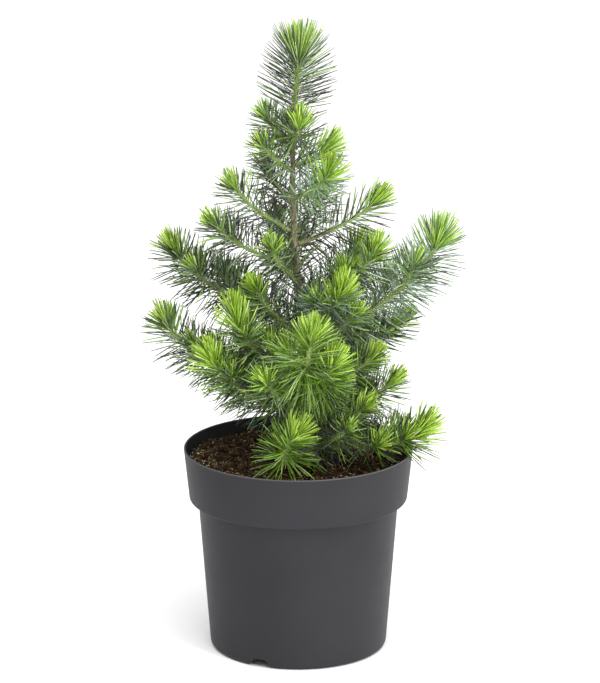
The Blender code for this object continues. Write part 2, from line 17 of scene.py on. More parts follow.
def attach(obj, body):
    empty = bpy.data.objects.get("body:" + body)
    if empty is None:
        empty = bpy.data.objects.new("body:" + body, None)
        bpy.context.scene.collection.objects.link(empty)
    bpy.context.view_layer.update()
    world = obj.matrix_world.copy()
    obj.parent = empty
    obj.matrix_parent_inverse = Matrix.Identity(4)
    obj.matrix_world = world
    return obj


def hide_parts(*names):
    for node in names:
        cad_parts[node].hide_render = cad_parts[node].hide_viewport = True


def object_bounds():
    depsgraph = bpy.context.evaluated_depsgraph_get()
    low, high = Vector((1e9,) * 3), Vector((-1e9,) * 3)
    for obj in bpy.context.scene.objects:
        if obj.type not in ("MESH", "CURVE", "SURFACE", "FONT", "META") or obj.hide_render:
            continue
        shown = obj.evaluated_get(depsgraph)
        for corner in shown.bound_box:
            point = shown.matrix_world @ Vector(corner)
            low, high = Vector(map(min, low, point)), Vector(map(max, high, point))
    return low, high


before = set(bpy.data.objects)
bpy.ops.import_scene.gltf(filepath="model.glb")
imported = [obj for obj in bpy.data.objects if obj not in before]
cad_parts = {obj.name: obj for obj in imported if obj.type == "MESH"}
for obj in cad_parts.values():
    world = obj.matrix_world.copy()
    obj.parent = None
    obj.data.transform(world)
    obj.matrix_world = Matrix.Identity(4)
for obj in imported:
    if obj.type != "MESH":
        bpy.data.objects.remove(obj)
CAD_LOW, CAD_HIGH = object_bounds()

bl_info = {
    "name": "Potted stone pine",
    "version": (1, 0, 0),
    "blender": (4, 5, 0),
    "location": "3D View > Sidebar > Potted pine",
    "description": "Makes the looks of a young stone pine in a nursery pot, piece by piece",
    "category": "Object",
}

MM = 0.001
BODY = "root"

# The pot and its filling, as the packed solids have them
POT_HEIGHT = 0.170
RIM_RADIUS = 0.095
COLLAR_FOOT_RADIUS = 0.0904
COLLAR_FOOT_Z = 0.1268
BODY_TOP_RADIUS = 0.0831
BODY_TOP_Z = 0.1260
FOOT_RADIUS = 0.0733
POT_WALL = 0.0016
PAD_RADIUS = 0.044
GROOVE_DEPTH = 0.0075
GROOVE_SLOPE = 0.002
FOOT_RING = 0.005
NOTCH_COUNT = 3
NOTCH_BEARING = -115.5
NOTCH_FOOT_WIDTH = 0.0265
NOTCH_TOP_WIDTH = 0.0098
NOTCH_HEIGHT = 0.0071
NOTCH_INNER_RADIUS = 0.062
NOTCH_OVERCUT = 0.002
SMALL_EDGE = 0.0006
MERGE_WITHIN = 0.00001
SHARP_ANGLE = 40
# How far below the rim the painted highlight on the lip starts, and where it is full
PAINTED_LIP_HIGHLIGHT = (0.0011, 0.0004)
GAP = 0.0003

# The compost's disc: its level, reach and facets, how far its top sits under the level and its foot
# below that, how much narrower it is there, and the clearing that litter leaves round the trunk
SOIL_LEVEL = POT_HEIGHT - 0.012
SOIL_WALL = 0.0921
SOIL_RINGS = 108
SOIL_SIDES = 400
SOIL_DROP = 0.0006
SOIL_THICKNESS = 0.010
SOIL_LOWEST = 0.008
SKIRT_SHARE = 0.97
TRUNK_CLEARING = 0.0075

# The compost's lumps: heights and sinks in millimetres, widths in metres
MOUND_HEIGHT, MOUND_WIDTH, MOUND_SINK = 2.0, 0.026, 0.4
CLOD_HEIGHT, CLOD_WIDTH, CLOD_SINK = 4.6, 0.0105, 1.4
CRUMB_HEIGHT, CRUMB_WIDTH = 2.2, 0.0042
LUMP_RANGE = 5.0
# Where the ground round the trunk starts to rise, and the bank: the radius and the width of each
# slope, and the bank's height, bearing and spread
CALM = (0.006, 0.012)
BANK_SLOPE = (0.040, 0.045)
BANK_HEIGHT = 5.0
BANK = (165.0, 55.0)
# Pale grit: how much lies everywhere, where it gathers by the wall, the width of its patches, and
# each heap's amount, bearing and spread
GRIT_LEAST = 0.12
GRIT_SLOPE = (0.050, 0.03)
GRIT_PATCH = 0.012
GRIT_HEAPS = ((1.8, 296.0, 18.0), (0.65, 196.0, 32.0))

# The plant, by the rule that its solids follow
TRUNK_FOOT_Z = SOIL_LEVEL + GAP
TRUNK_TIP_Z = 0.455
TRUNK_FOOT_X = 0.012
TRUNK_LEAN = 0.0165
TRUNK_LEAN_END_Z = 0.390
TRUNK_RETURN = 0.0045
TRUNK_RETURN_Z = (0.430, 0.500)
TRUNK_FOOT_RADIUS = 0.0043
TRUNK_TIP_RADIUS = 0.0017
FLARE = 0.0026
FLARE_HEIGHT = 0.005
LEADER_APEX_Z = 0.499
START_DIP = 0.33
START_HANDLE = 0.42
END_HANDLE = 0.24
BEND_POINTS = 60
PATH_STEP = 0.0015
SEAT_STEP = 0.00005
END_PROBES = 12
STEM_TIP_RADIUS = 0.0014
STEM_GROWTH = 0.0062
BOUGH_SHARE = 0.30
TWIG_FIRST = 0.40
TWIG_SPACING = 0.20
TWIG_SPREAD = (38.0, 54.0)
TWIG_RISE = 14.0
TWIG_SHARE = (0.24, 0.32)
SEED = 42
LOOK_SEED = 7000

# How finely limbs are drawn, and the skins that they have
TRUNK_SIDES = 20
BOUGH_SIDES = 12
STEM_SIDES = 7
BARK_STEP = 0.0008
STEM_STEP = 0.002
BOUGH_OVERLAP = 0.05
STEM_WITHIN_SOLID = 0.96
FLAKE_STRETCH = (1.0, 1.0, 0.45)
RIND_RELIEF = 0.0001
RIND_FLAKE = 0.0016
LEADER_THIN = 0.0012
SHOOT_THIN = 0.0010
TWIG_RADII = (0.0012, 0.0009)
FINE_RADII = (0.0010, 0.0008)

# Each shoot as in the solids: where it leaves the trunk, its bearing, how far out and up its tip is
# (millimetres), how much steeper its tip is than its chord, its side twigs, and whether a bough
# carries it
Shoot = namedtuple("Shoot", "name join bearing reach rise lift twigs bough")
SHOOTS = (
    Shoot("top_left", 421, 178, 22, 31, 20, 0, False),
    Shoot("top_front", 428, -78, 28, 23, 22, 0, False),
    Shoot("top_front_left", 404, -134, 36, 29, 22, 0, False),
    Shoot("top_right", 407, 17, 28, 14, 30, 0, False),
    Shoot("top_back", 413, 96, 26, 24, 28, 0, False),
    Shoot("upper_front_right", 380, -48, 43, 30, 24, 0, False),
    Shoot("upper_back_left", 376, 122, 42, 24, 30, 0, False),
    Shoot("upper_left", 352, -166, 51, 44, 28, 0, False),
    Shoot("upper_back_right", 350, 64, 52, 28, 30, 0, False),
    Shoot("upper_right", 341, 15, 68, 34, 18, 0, True),
    Shoot("mid_left", 321, -165, 70, 44, 25, 0, True),
    Shoot("mid_back", 318, 104, 66, 30, 32, 1, True),
    Shoot("mid_front_left", 308, -118, 46, 44, 20, 0, False),
    Shoot("mid_back_right", 294, 50, 76, 34, 30, 1, True),
    Shoot("broad_front_right", 288, -26, 68, 60, 22, 1, True),
    Shoot("broad_left", 274, 169, 109, 62, 38, 2, True),
    Shoot("broad_front", 274, -64, 72, 52, 26, 1, True),
    Shoot("broad_back_left", 266, 134, 86, 34, 32, 1, True),
    Shoot("broad_right", 253, 6, 109, 89, 32, 2, True),
    Shoot("broad_back", 243, 86, 90, 32, 32, 1, True),
    Shoot("low_right", 232, 20, 84, 41, 12, 1, True),
    Shoot("low_front", 223, -88, 86, 67, 16, 2, True),
    Shoot("low_front_left", 219, -134, 86, 82, 28, 1, True),
    Shoot("low_back_right", 220, 58, 92, 30, 30, 1, True),
    Shoot("low_left", 210, -175, 119, 71, 40, 2, True),
    Shoot("low_back_left", 204, 122, 98, 32, 32, 1, True),
    Shoot("base_front", 198, -78, 70, 56, 22, 0, True),
    Shoot("base_front_left", 193, -144, 101, 72, 34, 1, True),
    Shoot("base_right", 192, 8, 68, 32, 24, 1, True),
    Shoot("base_front_right", 187, -40, 57, 30, 26, 0, False),
    Shoot("base_back", 180, 88, 88, 22, 30, 1, True),
    Shoot("rim_right", 169, -12, 91, 22, 28, 1, True),
    Shoot("rim_front", 168, -100, 79, 37, 14, 0, True),
)

# Short shoots that only the looks have, within the reach of the others
SMALL_SHOOTS = (
    Shoot("small_mid_left", 261, -135, 57, 57, 22, 0, False),
    Shoot("small_mid_right", 257, -51, 64, 41, 22, 0, False),
    Shoot("small_low_left", 201, -115, 88, 49, 22, 0, False),
    Shoot("small_low_front", 219, -22, 58, 36, 22, 0, False),
    Shoot("small_front_right", 219, -76, 82, 46, 22, 0, False),
    Shoot("small_rim_middle", 175, -65, 68, 30, 22, 0, False),
)

# How a shoot looks: how far down from its tip its needles are bright (millimetres), the size of its
# tip needles against full ones, the shares of its grown needles that are waxy and that are old and
# dull (the dull share, highest on the leader and the side shoots, is partly painted shade), its finer
# side twigs, its side buds just below the tip, how far down its side twigs are bright, the share of its
# green needles that are lush, the share of the bright ones that are fresh, how widely its tip needles
# spread and their number against the usual one, how much more its tip turns up and round (degrees)
# and over what share of its chord, its needles against the usual number, length and width, how far
# they lean out in the end, how unevenly, how far they bend down, as a share of their length, over how
# much of the tip they stay close to the stem (millimetres), and whether the tuft is level on top
Look = namedtuple(
    "Look",
    "bright tip_size bloom dull fine buds side lush glow flare tuft upturn swing sweep crowd length slim"
    " open loose droop hold level",
    defaults=(
        6, 0.7, 0.10, 0.5, 0, 0, 2, 0.0, 0.7, 38, 1.0, 0, 0, END_HANDLE, 1.0, 0.84, 1.0, 64, 14, 0.0, 16, 0.0
    ),
)
LOOKS = {
    "leader": Look(
        5, 0.94, 0.15, 0.8, glow=0.45, flare=42, tuft=2.7, crowd=1.8, length=1.05, slim=0.86, open=71,
        loose=4, droop=-0.03, hold=13, level=0.8,
    ),
    "top_left": Look(4, 0.6, 0.3, 0.4, glow=0.5, flare=34, tuft=0.8, length=0.76),
    "top_front": Look(9, 0.68, 0.05, 0.35, flare=26, upturn=18, sweep=0.4, length=0.8),
    "top_front_left": Look(4, 0.6, 0.1, 0.4, glow=0.6, flare=34, tuft=0.8, length=0.76),
    "top_right": Look(13, 0.86, 0.15, 0.3, glow=0.5, flare=26, length=0.84),
    "top_back": Look(3, 0.7, 0.2, 0.55, length=0.8),
    "upper_front_right": Look(12, 0.86, 0.65, 0.15, flare=34, upturn=12, crowd=1.2, length=0.86),
    "upper_back_left": Look(3, 0.7, 0.15, 0.6, length=0.8),
    "upper_left": Look(8, 0.66, 0.1, 0.7, flare=34, crowd=0.9, length=0.8, hold=14),
    "upper_back_right": Look(4, 0.7, 0.25, 0.55, length=0.84),
    "upper_right": Look(
        13, 0.8, 0.05, 0.85, flare=26, crowd=0.66, upturn=6, length=0.86, loose=9, slim=1.08, hold=20
    ),
    "mid_left": Look(9, 0.68, 0.1, 0.8, fine=1, flare=36, crowd=0.76, length=0.8, slim=1.05, hold=14),
    "mid_back": Look(3, 0.7, 0.15, 0.6),
    "mid_front_left": Look(8, 0.62, 0.05, 0.3, flare=38, upturn=12, length=0.72),
    "mid_back_right": Look(8, 0.76, 0.1, 0.35, fine=1, side=5, flare=40, crowd=1.1),
    "broad_front_right": Look(
        12, 0.68, 0.2, 0.4, fine=1, buds=2, side=4, lush=0.2, flare=28, upturn=14, crowd=1.1, length=0.8,
        loose=18, hold=18,
    ),
    "broad_left": Look(
        10, 0.66, 0.15, 0.8, fine=1, buds=2, flare=36, crowd=0.85, length=0.94, slim=1.05, open=72,
        loose=18, hold=14,
    ),
    "broad_front": Look(
        24, 0.64, 0.7, 0.1, fine=2, lush=0.2, glow=0.85, flare=14, tuft=1.0, upturn=16, crowd=1.4,
        length=0.86, open=58, hold=30,
    ),
    "broad_back_left": Look(4, 0.7, 0.1, 0.6, fine=1),
    "broad_right": Look(
        12, 0.94, 0.42, 0.55, fine=1, glow=0.45, flare=50, tuft=2.6, crowd=1.2, length=1.0, slim=0.88,
        open=70, loose=8,
    ),
    "broad_back": Look(4, 0.7, 0.1, 0.6, fine=1),
    "low_right": Look(
        8, 0.64, 0.05, 0.5, fine=1, side=3, lush=0.4, glow=0.9, flare=26, crowd=0.85, length=0.82, hold=18
    ),
    "low_front": Look(
        10, 0.64, 0.05, 0.0, fine=2, buds=1, lush=0.9, glow=0.85, flare=24, tuft=1.0, upturn=24, swing=65,
        sweep=0.5, crowd=3.2, length=1.04, slim=0.64, loose=22, droop=0.24, hold=17,
    ),
    "low_front_left": Look(
        20, 0.78, 0.1, 0.35, fine=2, side=5, lush=0.4, glow=0.85, flare=22, tuft=1.2, upturn=12, crowd=1.3,
        length=0.92, open=58, hold=24,
    ),
    "low_back_right": Look(4, 0.7, 0.1, 0.55, fine=1, lush=0.3),
    "low_left": Look(
        9, 0.76, 0.1, 0.8, fine=1, buds=1, flare=44, tuft=1.3, crowd=0.85, length=0.88, slim=1.05, open=70,
        loose=14, hold=14,
    ),
    "low_back_left": Look(4, 0.7, 0.1, 0.6, fine=1, lush=0.3),
    "base_front": Look(12, 0.78, 0.1, 0.15, fine=2, side=4, lush=0.7, upturn=16, crowd=1.3),
    "base_front_left": Look(
        16, 0.74, 0.1, 0.4, fine=2, buds=1, side=4, lush=0.6, glow=0.9, flare=24, tuft=1.1, crowd=1.25,
        length=0.92, hold=22,
    ),
    "base_right": Look(
        8, 0.66, 0.05, 0.55, fine=1, side=3, lush=0.3, glow=0.9, flare=26, crowd=0.9, length=0.84, open=70,
        hold=18,
    ),
    "base_front_right": Look(9, 0.6, 0.05, 0.45, fine=1, side=3, lush=0.5, flare=24, hold=20),
    "base_back": Look(4, 0.7, 0.1, 0.55, fine=1, lush=0.3),
    "rim_right": Look(
        17, 0.82, 0.0, 0.5, fine=3, side=8, lush=0.5, glow=0.95, flare=24, tuft=1.4, upturn=20, crowd=0.85,
        length=1.0, slim=1.08, open=74, loose=16, hold=17,
    ),
    "rim_front": Look(
        10, 0.76, 0.0, 0.15, lush=0.95, glow=0.95, flare=22, tuft=1.0, upturn=20, swing=80, sweep=0.6,
        crowd=2.3, length=0.93, slim=0.92, loose=18, droop=0.05, hold=15,
    ),
    "small_mid_left": Look(8, 0.6, 0.05, 0.4, lush=0.3, flare=26, length=0.8, hold=18),
    "small_mid_right": Look(8, 0.6, 0.05, 0.3, lush=0.3, flare=26, length=0.8, hold=18),
    "small_low_left": Look(9, 0.74, 0.05, 0.35, lush=0.4),
    "small_low_front": Look(
        8, 0.58, 0.05, 0.3, fine=1, lush=0.5, glow=0.8, flare=24, crowd=0.9, length=0.8, hold=18
    ),
    "small_front_right": Look(
        13, 0.72, 0.05, 0.1, lush=0.9, glow=0.95, flare=24, tuft=1.0, upturn=10, swing=60, sweep=0.4,
        crowd=1.2, length=0.92, hold=22,
    ),
    "small_rim_middle": Look(6, 0.6, 0.0, 0.7, lush=0.8, glow=0.4, flare=34, crowd=0.75, length=0.84),
}

# Finer twigs: shorter than the side twigs, set between them
FINE_FIRST = (0.42, 0.74)
FINE_SPREAD = (34.0, 58.0)
FINE_LENGTH = (0.012, 0.024)
FINE_TIP_SIZE = 0.64
FINE_CROWD = 1.05
FINE_FLARE = 38
# Side buds: short twigs that leave a shoot just below its tip
BUD_BELOW = (0.009, 0.015)
BUD_SPREAD = (34.0, 48.0)
BUD_LENGTH = (0.007, 0.010)
BUD_TIP_SIZE = 0.85
BUD_CROWD = 0.4
BUD_TUFT = 1.1

# A needle: where its root is, the way it leaves, the way its flat side faces, how its tip is bent,
# its length, width and kind, and its own tone
Needle = namedtuple("Needle", "root way up bend length width kind tone")
# A stem with its radii at foot and tip, and its looks
Stem = namedtuple("Stem", "line thick thin kind look")

# The kinds of needle: width against the usual one, roughness, wax, how much of the pale inner side
# shows (partly a painted glossy highlight), and the colours towards root and tip with the share of each;
# the dark root of the fresh and spring kinds and the dark tip of the others are painted shade
Kind = namedtuple("Kind", "width rough wax pale root root_share tip tip_share")
KINDS = {
    "fresh": Kind(1.2, 0.40, 0.0, 0.40, "#4A7A18", 0.50, "#C8DC58", 0.30),
    "spring": Kind(1.14, 0.40, 0.0, 0.45, "#4A7A20", 0.40, "#B6D04C", 0.20),
    "lush": Kind(1.05, 0.42, 0.0, 0.40, "#A8B44A", 0.25, "#3C6414", 0.30),
    "green": Kind(1.0, 0.45, 0.0, 0.35, "#A8B070", 0.30, "#2A2E2C", 0.52),
    "waxy": Kind(1.0, 0.55, 0.3, 0.45, "#A8B070", 0.20, "#3A4244", 0.45),
    "deep": Kind(0.95, 0.45, 0.0, 0.20, "#A8A868", 0.30, "#20281C", 0.40),
    "old": Kind(0.95, 0.50, 0.1, 0.05, "#A8A070", 0.30, "#1E1C22", 0.60),
}
# The darkest and lightest needle against its colour, and the tone from which a needle turns pale: partly its
# paler inner side, partly a painted glossy highlight
TONES = (0.52, 1.46)
PALE_SIDE_AND_HIGHLIGHT_FROM = 0.6

# A needle's shape: its places along it with the width there, and how it is set on its stem
NEEDLE_TAPER = ((0.0, 0.70), (0.2, 1.0), (0.8, 0.97), (1.0, 0.58))
NEEDLE_STATIONS = 5
NEEDLE_TURN = 137.5
TURN_SPREAD = 9.0
LEAN_SPREAD = 4.0
HOLD_POWER = 1.4
ROOT_DEPTH = 0.7
SIDE_BEND = 0.007
SIZE_REACH = 0.018
LEAST_INWARD = 0.1
CUSHION_WIDTH = 0.0014
CUSHION_HEIGHT = 0.0020
# Ranges of the random draws against the usual value; the curl is a share of the length, and added
LENGTH_DRAW = (0.92, 1.05)
WIDTH_DRAW = (0.85, 1.1)
SPACING_DRAW = (0.8, 1.2)
DROOP_DRAW = (0.4, 1.6)
CURL_DRAW = (-0.02, 0.03)
INWARD_DRAW = (0.3, 1.4)

# The tuft at a tip, and how the needles crowd towards it
TUFT_TOP = 0.0004
TUFT_DEPTH = 0.007
TUFT_FIRST_LEAN = 2.0
TUFT_FILL = 0.62
TUFT_SPREAD = 2.0
TUFT_LOOSENESS = 0.25
TUFT_DRAW = (0.84, 1.05)
SIDE_TUFT = 0.6
LEVEL_LEAN = 35.0
CROWDING = 1.5
CROWDING_REACH = 0.012

# Which kind a needle is: how the bright tip fades (millimetres), how far down it goes on needles that
# point down and how much further on those that point up, which is painted light from above, the green
# ones in it, and where older ones take over
BRIGHT_FADE = 2.4
PAINTED_TOP_LIGHT = (0.45, 0.85)
TUFT_GREEN = 0.10
TUFT_DULL_FROM = 0.15
OUTER_LEAN = 20.0
OUTER_WIDTH = 24.0
# Needles nearer the trunk are more often dull and old: partly their age, partly painted shade inside the
# crown
CROWN_RADIUS = 0.07
DEEP_AGE_AND_SHADE = 0.25
YOUNG_BAND = 18

# The trunk's own needles, with the shares of them that are green, deep and old
TRUNK_NEEDLE_LEAN = 62
TRUNK_LEAN_DRAW = (-12, 8)
TRUNK_LENGTH_DRAW = (0.88, 1.08)
TRUNK_SPACING_DRAW = (0.6, 1.4)
TRUNK_KINDS = (0.2, 0.2, 0.6)

# Where a needle is probed, and what it keeps clear of
PROBE_SHARES = (0.3, 0.55, 0.8, 1.0)
LIMB_MARGIN = 0.0006
POT_MARGIN = 0.0015
BOX_SLACK = 0.004

# The camera as fitted to the photo, the floor, and how the sky's light changes along each axis
SENSOR_HEIGHT = 36.0
FOCAL_PIXELS = 3785.0
PHOTO_PIXELS = 683.0
VIEW_DIP = 15.32
VIEW_END = 60.0
EYE_X = 0.0014
EYE_Z = 1.082
FLOOR_REACH = 20.0
SKY_SLOPES = {"X": (-0.8, 0.3, 0.12, 1.0), "Y": (0.0, 0.7, 1.0, 0.45), "Z": (0.25, 0.8, 0.0, 1.0)}
SKY_TOP = 1.35


def linear(code):
    """An sRGB hex colour as linear red, green and blue."""
    values = [int(code[k : k + 2], 16) / 255 for k in (1, 3, 5)]
    return tuple(v / 12.92 if v <= 0.04045 else ((v + 0.055) / 1.055) ** 2.4 for v in values)


def blended(colour, other, share):
    """The colour with a share of another mixed in."""
    return tuple(a + (b - a) * share for a, b in zip(colour, other))


def toned(colour, share):
    """The colour made darker or lighter by a share."""
    return tuple(min(1.0, c * share) for c in colour)


def feed(tree, made, feeds):
    """Feeds a node's inputs with values, with sockets or with the first output in use of other nodes."""
    for name, source in feeds.items():
        if isinstance(source, bpy.types.Node):
            source = next(socket for socket in source.outputs if socket.enabled)
        if isinstance(source, bpy.types.NodeSocket):
            tree.links.new(source, made.inputs[name])
        else:
            made.inputs[name].default_value = source


def add(tree, kind, feeds=None, stops=(), **settings):
    """Adds a node with its settings, what feeds it and the stops of its colour ramp."""
    made = tree.nodes.new(kind)
    for name, value in settings.items():
        setattr(made, name, value)
    feed(tree, made, feeds or {})
    if stops:
        ramp = made.color_ramp.elements
        ramp[0].position, ramp[1].position = stops[0][0], stops[-1][0]
        ramp[0].color, ramp[1].color = (*stops[0][1], 1.0), (*stops[-1][1], 1.0)
        for place, colour in stops[1:-1]:
            ramp.new(place).color = (*colour, 1.0)
    return made


# Making and keeping meshes


def new_object(name, content):
    """An object in the scene that shows a mesh, a light or a camera."""
    made = bpy.data.objects.new(name, content)
    bpy.context.scene.collection.objects.link(made)
    return made


def mesh_of(work, name):
    """The named mesh that a worked shape becomes."""
    mesh = bpy.data.meshes.new(name)
    work.to_mesh(mesh)
    work.free()
    return mesh


def carry(mesh, label, values):
    """Stores a number or a vector with each of the mesh's points."""
    numbers = np.array(values, np.float32)
    kind, part = ("FLOAT_VECTOR", "vector") if numbers.ndim == 2 else ("FLOAT", "value")
    mesh.attributes.new(label, kind, "POINT").data.foreach_set(part, numbers.ravel())


def evaluated_copy(thing):
    """The object's mesh with its modifiers applied."""
    bpy.context.view_layer.update()
    return bpy.data.meshes.new_from_object(thing.evaluated_get(bpy.context.evaluated_depsgraph_get()))


def kept(name, mesh, stands_for=()):
    """A finished piece: it rides on the plant's one body and stands for the solids named."""
    piece = new_object(name, mesh)
    if stands_for:
        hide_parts(*stands_for)
    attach(piece, BODY)
    return piece


def grown(source, tree, **inputs):
    """The mesh that a Geometry Nodes tree makes of a source mesh."""
    thing = new_object("grower", source)
    modifier = thing.modifiers.new("grow", "NODES")
    modifier.node_group = tree
    for item in tree.interface.items_tree:
        if item.item_type == "SOCKET" and item.in_out == "INPUT" and item.name in inputs:
            modifier[item.identifier] = inputs[item.name]
    mesh = evaluated_copy(thing)
    bpy.data.objects.remove(thing, do_unlink=True)
    bpy.data.meshes.remove(source)
    for name in ("way", "up", "size", "bend", "rise", "share"):
        if name in mesh.attributes:
            mesh.attributes.remove(mesh.attributes[name])
    return mesh


def nodes_named(start):
    return sorted(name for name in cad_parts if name.startswith(start))


def new_tree(name, **sockets):
    """A Geometry Nodes tree with its named inputs, and the sockets that bring them."""
    tree = bpy.data.node_groups.new(name, "GeometryNodeTree")
    for label, kind in {"Geometry": "Geometry", **sockets}.items():
        tree.interface.new_socket(label, in_out="INPUT", socket_type=f"NodeSocket{kind}")
    tree.interface.new_socket("Geometry", in_out="OUTPUT", socket_type="NodeSocketGeometry")
    return tree, add(tree, "NodeGroupInput").outputs


def moved(tree, geometry, way, amount):
    """The geometry with each point moved along its way by its amount."""
    shift = add(tree, "ShaderNodeVectorMath", {0: way, "Scale": amount}, operation="SCALE")
    return add(tree, "GeometryNodeSetPosition", {"Geometry": geometry, "Offset": shift})


def set_along_way(tree, shape, points, **more):
    """The shape on every point, turned to the point's way and up."""
    way = add(tree, "GeometryNodeInputNamedAttribute", {"Name": "way"}, data_type="FLOAT_VECTOR")
    up = add(tree, "GeometryNodeInputNamedAttribute", {"Name": "up"}, data_type="FLOAT_VECTOR")
    axes = {"Primary Axis": way, "Secondary Axis": up}
    turn = add(tree, "FunctionNodeAxesToRotation", axes, primary_axis="Z", secondary_axis="X")
    places = {"Points": points, "Instance": shape, "Rotation": turn, **more}
    return add(tree, "GeometryNodeInstanceOnPoints", places)


def end_tree(tree, geometry, finish):
    """Realizes what the tree made and gives it its material."""
    real = add(tree, "GeometryNodeRealizeInstances", {"Geometry": geometry})
    painted = add(tree, "GeometryNodeSetMaterial", {"Geometry": real, "Material": finish})
    add(tree, "NodeGroupOutput", {"Geometry": painted})
    return tree


# Materials


def new_material(name, colour, roughness, gloss=0.5):
    """A material with its shader and the object coordinates that its patterns read."""
    made = bpy.data.materials.new(name)
    made.use_nodes = True
    tree = made.node_tree
    shader = tree.nodes["Principled BSDF"]
    feed(tree, shader, {"Base Color": (*colour, 1.0), "Roughness": roughness, "Specular IOR Level": gloss})
    return made, tree, shader, add(tree, "ShaderNodeTexCoord").outputs["Object"]


def roughen(tree, shader, place, size, detail, strength, depth):
    """Gives a skin its fine relief, with grains so many millimetres wide and deep."""
    grain = add(tree, "ShaderNodeTexNoise", {"Vector": place, "Scale": 1000 / size, "Detail": detail})
    bump = add(tree, "ShaderNodeBump", {"Height": grain, "Strength": strength, "Distance": depth * MM})
    feed(tree, shader, {"Normal": bump})


def moulded_polypropylene(settings):
    """Injection-moulded dark grey plastic: a satin skin with a fine grain and faint flow marks."""
    colour, rough = settings.colour, settings.roughness
    made, tree, shader, place = new_material("moulded_polypropylene", colour, rough, 0.13)
    flow = add(tree, "ShaderNodeTexNoise", {"Vector": place, "Scale": 1000 / 70, "Detail": 3.0})
    stops = ((0.35, toned(colour, 0.92)), (0.65, toned(colour, 1.08)))
    paint = add(tree, "ShaderNodeValToRGB", {"Fac": flow}, stops)
    # The thin lip is painted paler, a painted highlight that draws a light line round the rim
    height = add(tree, "ShaderNodeSeparateXYZ", {"Vector": place}).outputs["Z"]
    lip_highlight_span = {"Value": height, "From Min": POT_HEIGHT - PAINTED_LIP_HIGHLIGHT[0], "From Max": POT_HEIGHT - PAINTED_LIP_HIGHLIGHT[1]}
    edge = add(tree, "ShaderNodeMapRange", lip_highlight_span)
    colours = {"Factor": edge, "A": paint, "B": (*linear("#525254"), 1.0)}
    lip_highlighted = add(tree, "ShaderNodeMix", colours, data_type="RGBA")
    scuff = add(tree, "ShaderNodeTexNoise", {"Vector": place, "Scale": 1000 / 9, "Detail": 5.0})
    gloss = add(tree, "ShaderNodeMapRange", {"Value": scuff, "To Min": rough - 0.06, "To Max": rough + 0.06})
    feed(tree, shader, {"Base Color": lip_highlighted, "Roughness": gloss})
    # The mould's spark grain is about 0.1 mm, and is drawn at 0.5 mm so that it shows
    roughen(tree, shader, place, 0.5, 2.0, 0.08, 0.2)
    return made


def damp_peat(settings):
    """Damp peat compost, coloured by height: nearly black low in its gaps, brown on its clods and paler on
    their tops.
    """
    made, tree, shader, place = new_material("damp_peat", settings.colour, 0.95, 0.2)
    rise = add(tree, "ShaderNodeAttribute", attribute_name="rise").outputs["Fac"]
    pattern = {"Vector": place, "Scale": 1000 / 3, "Detail": 8.0, "Roughness": 0.7}
    clods = add(tree, "ShaderNodeTexNoise", pattern)
    spots = add(tree, "ShaderNodeMapRange", {"Value": clods, "To Min": -0.45, "To Max": 0.45})
    mixed = add(tree, "ShaderNodeMath", {0: rise, 1: spots}, operation="ADD")
    stops = ((0.22, toned(settings.colour, 0.2)), (0.55, settings.colour), (0.95, linear("#645034")))
    feed(tree, shader, {"Base Color": add(tree, "ShaderNodeValToRGB", {"Fac": mixed}, stops)})
    roughen(tree, shader, place, 1.2, 6.0, 0.9, 0.8)
    return made


def crumb_finish(name, colour, roughness):
    """A bit of bark, peat or grit: matt, broken and a little uneven in tone."""
    made, tree, shader, place = new_material(name, colour, roughness, 0.2)
    tone = add(tree, "ShaderNodeTexNoise", {"Vector": place, "Scale": 1000 / 4, "Detail": 4.0})
    stops = ((0.35, toned(colour, 0.6)), (0.65, toned(colour, 1.35)))
    feed(tree, shader, {"Base Color": add(tree, "ShaderNodeValToRGB", {"Fac": tone}, stops)})
    roughen(tree, shader, place, 0.6, 3.0, 0.6, 0.3)
    return made


def young_pine_bark(settings):
    """Thin young bark: grey-tan flakes over a browner skin, dull and slightly ridged."""
    made, tree, shader, place = new_material("young_pine_bark", settings.bark, 0.85)
    spread = add(tree, "ShaderNodeMapping", {"Vector": place, "Scale": FLAKE_STRETCH})
    flakes = add(tree, "ShaderNodeTexVoronoi", {"Vector": spread, "Scale": 1000 / settings.flake})
    stops = ((0.15, settings.bark), (0.75, settings.crack))
    paint = add(tree, "ShaderNodeValToRGB", {"Fac": flakes}, stops)
    tone = add(tree, "ShaderNodeTexNoise", {"Vector": place, "Scale": 1000 / 14, "Detail": 5.0})
    colours = {"Factor": tone, "A": paint, "B": (*settings.crack, 1.0)}
    mixed = add(tree, "ShaderNodeMix", colours, data_type="RGBA")
    relief = {"Height": flakes, "Strength": 0.7, "Distance": 0.5 * MM}
    feed(tree, shader, {"Base Color": mixed, "Normal": add(tree, "ShaderNodeBump", relief, invert=True)})
    return made


def growing_rind(settings):
    """The rind of a growing stem: soft pale green at its tip, going tan and then brown as it ages."""
    made, tree, shader, place = new_material("growing_pine_rind", settings.young, 0.6)
    age = add(tree, "ShaderNodeAttribute", attribute_name="age").outputs["Fac"]
    spots = add(tree, "ShaderNodeTexNoise", {"Vector": place, "Scale": 1000 / 5, "Detail": 5.0})
    wander = add(tree, "ShaderNodeMapRange", {"Value": spots, "To Min": -0.22, "To Max": 0.22})
    aged = add(tree, "ShaderNodeMath", {0: age, 1: wander}, operation="ADD")
    stops = ((0.15, settings.young), (0.5, settings.tan), (0.95, settings.crack))
    paint = add(tree, "ShaderNodeValToRGB", {"Fac": aged}, stops)
    ridges = add(tree, "ShaderNodeTexVoronoi", {"Vector": place, "Scale": 1000 / 1.6})
    relief = {"Height": ridges, "Strength": 0.5, "Distance": 0.3 * MM}
    feed(tree, shader, {"Base Color": paint, "Normal": add(tree, "ShaderNodeBump", relief)})
    return made


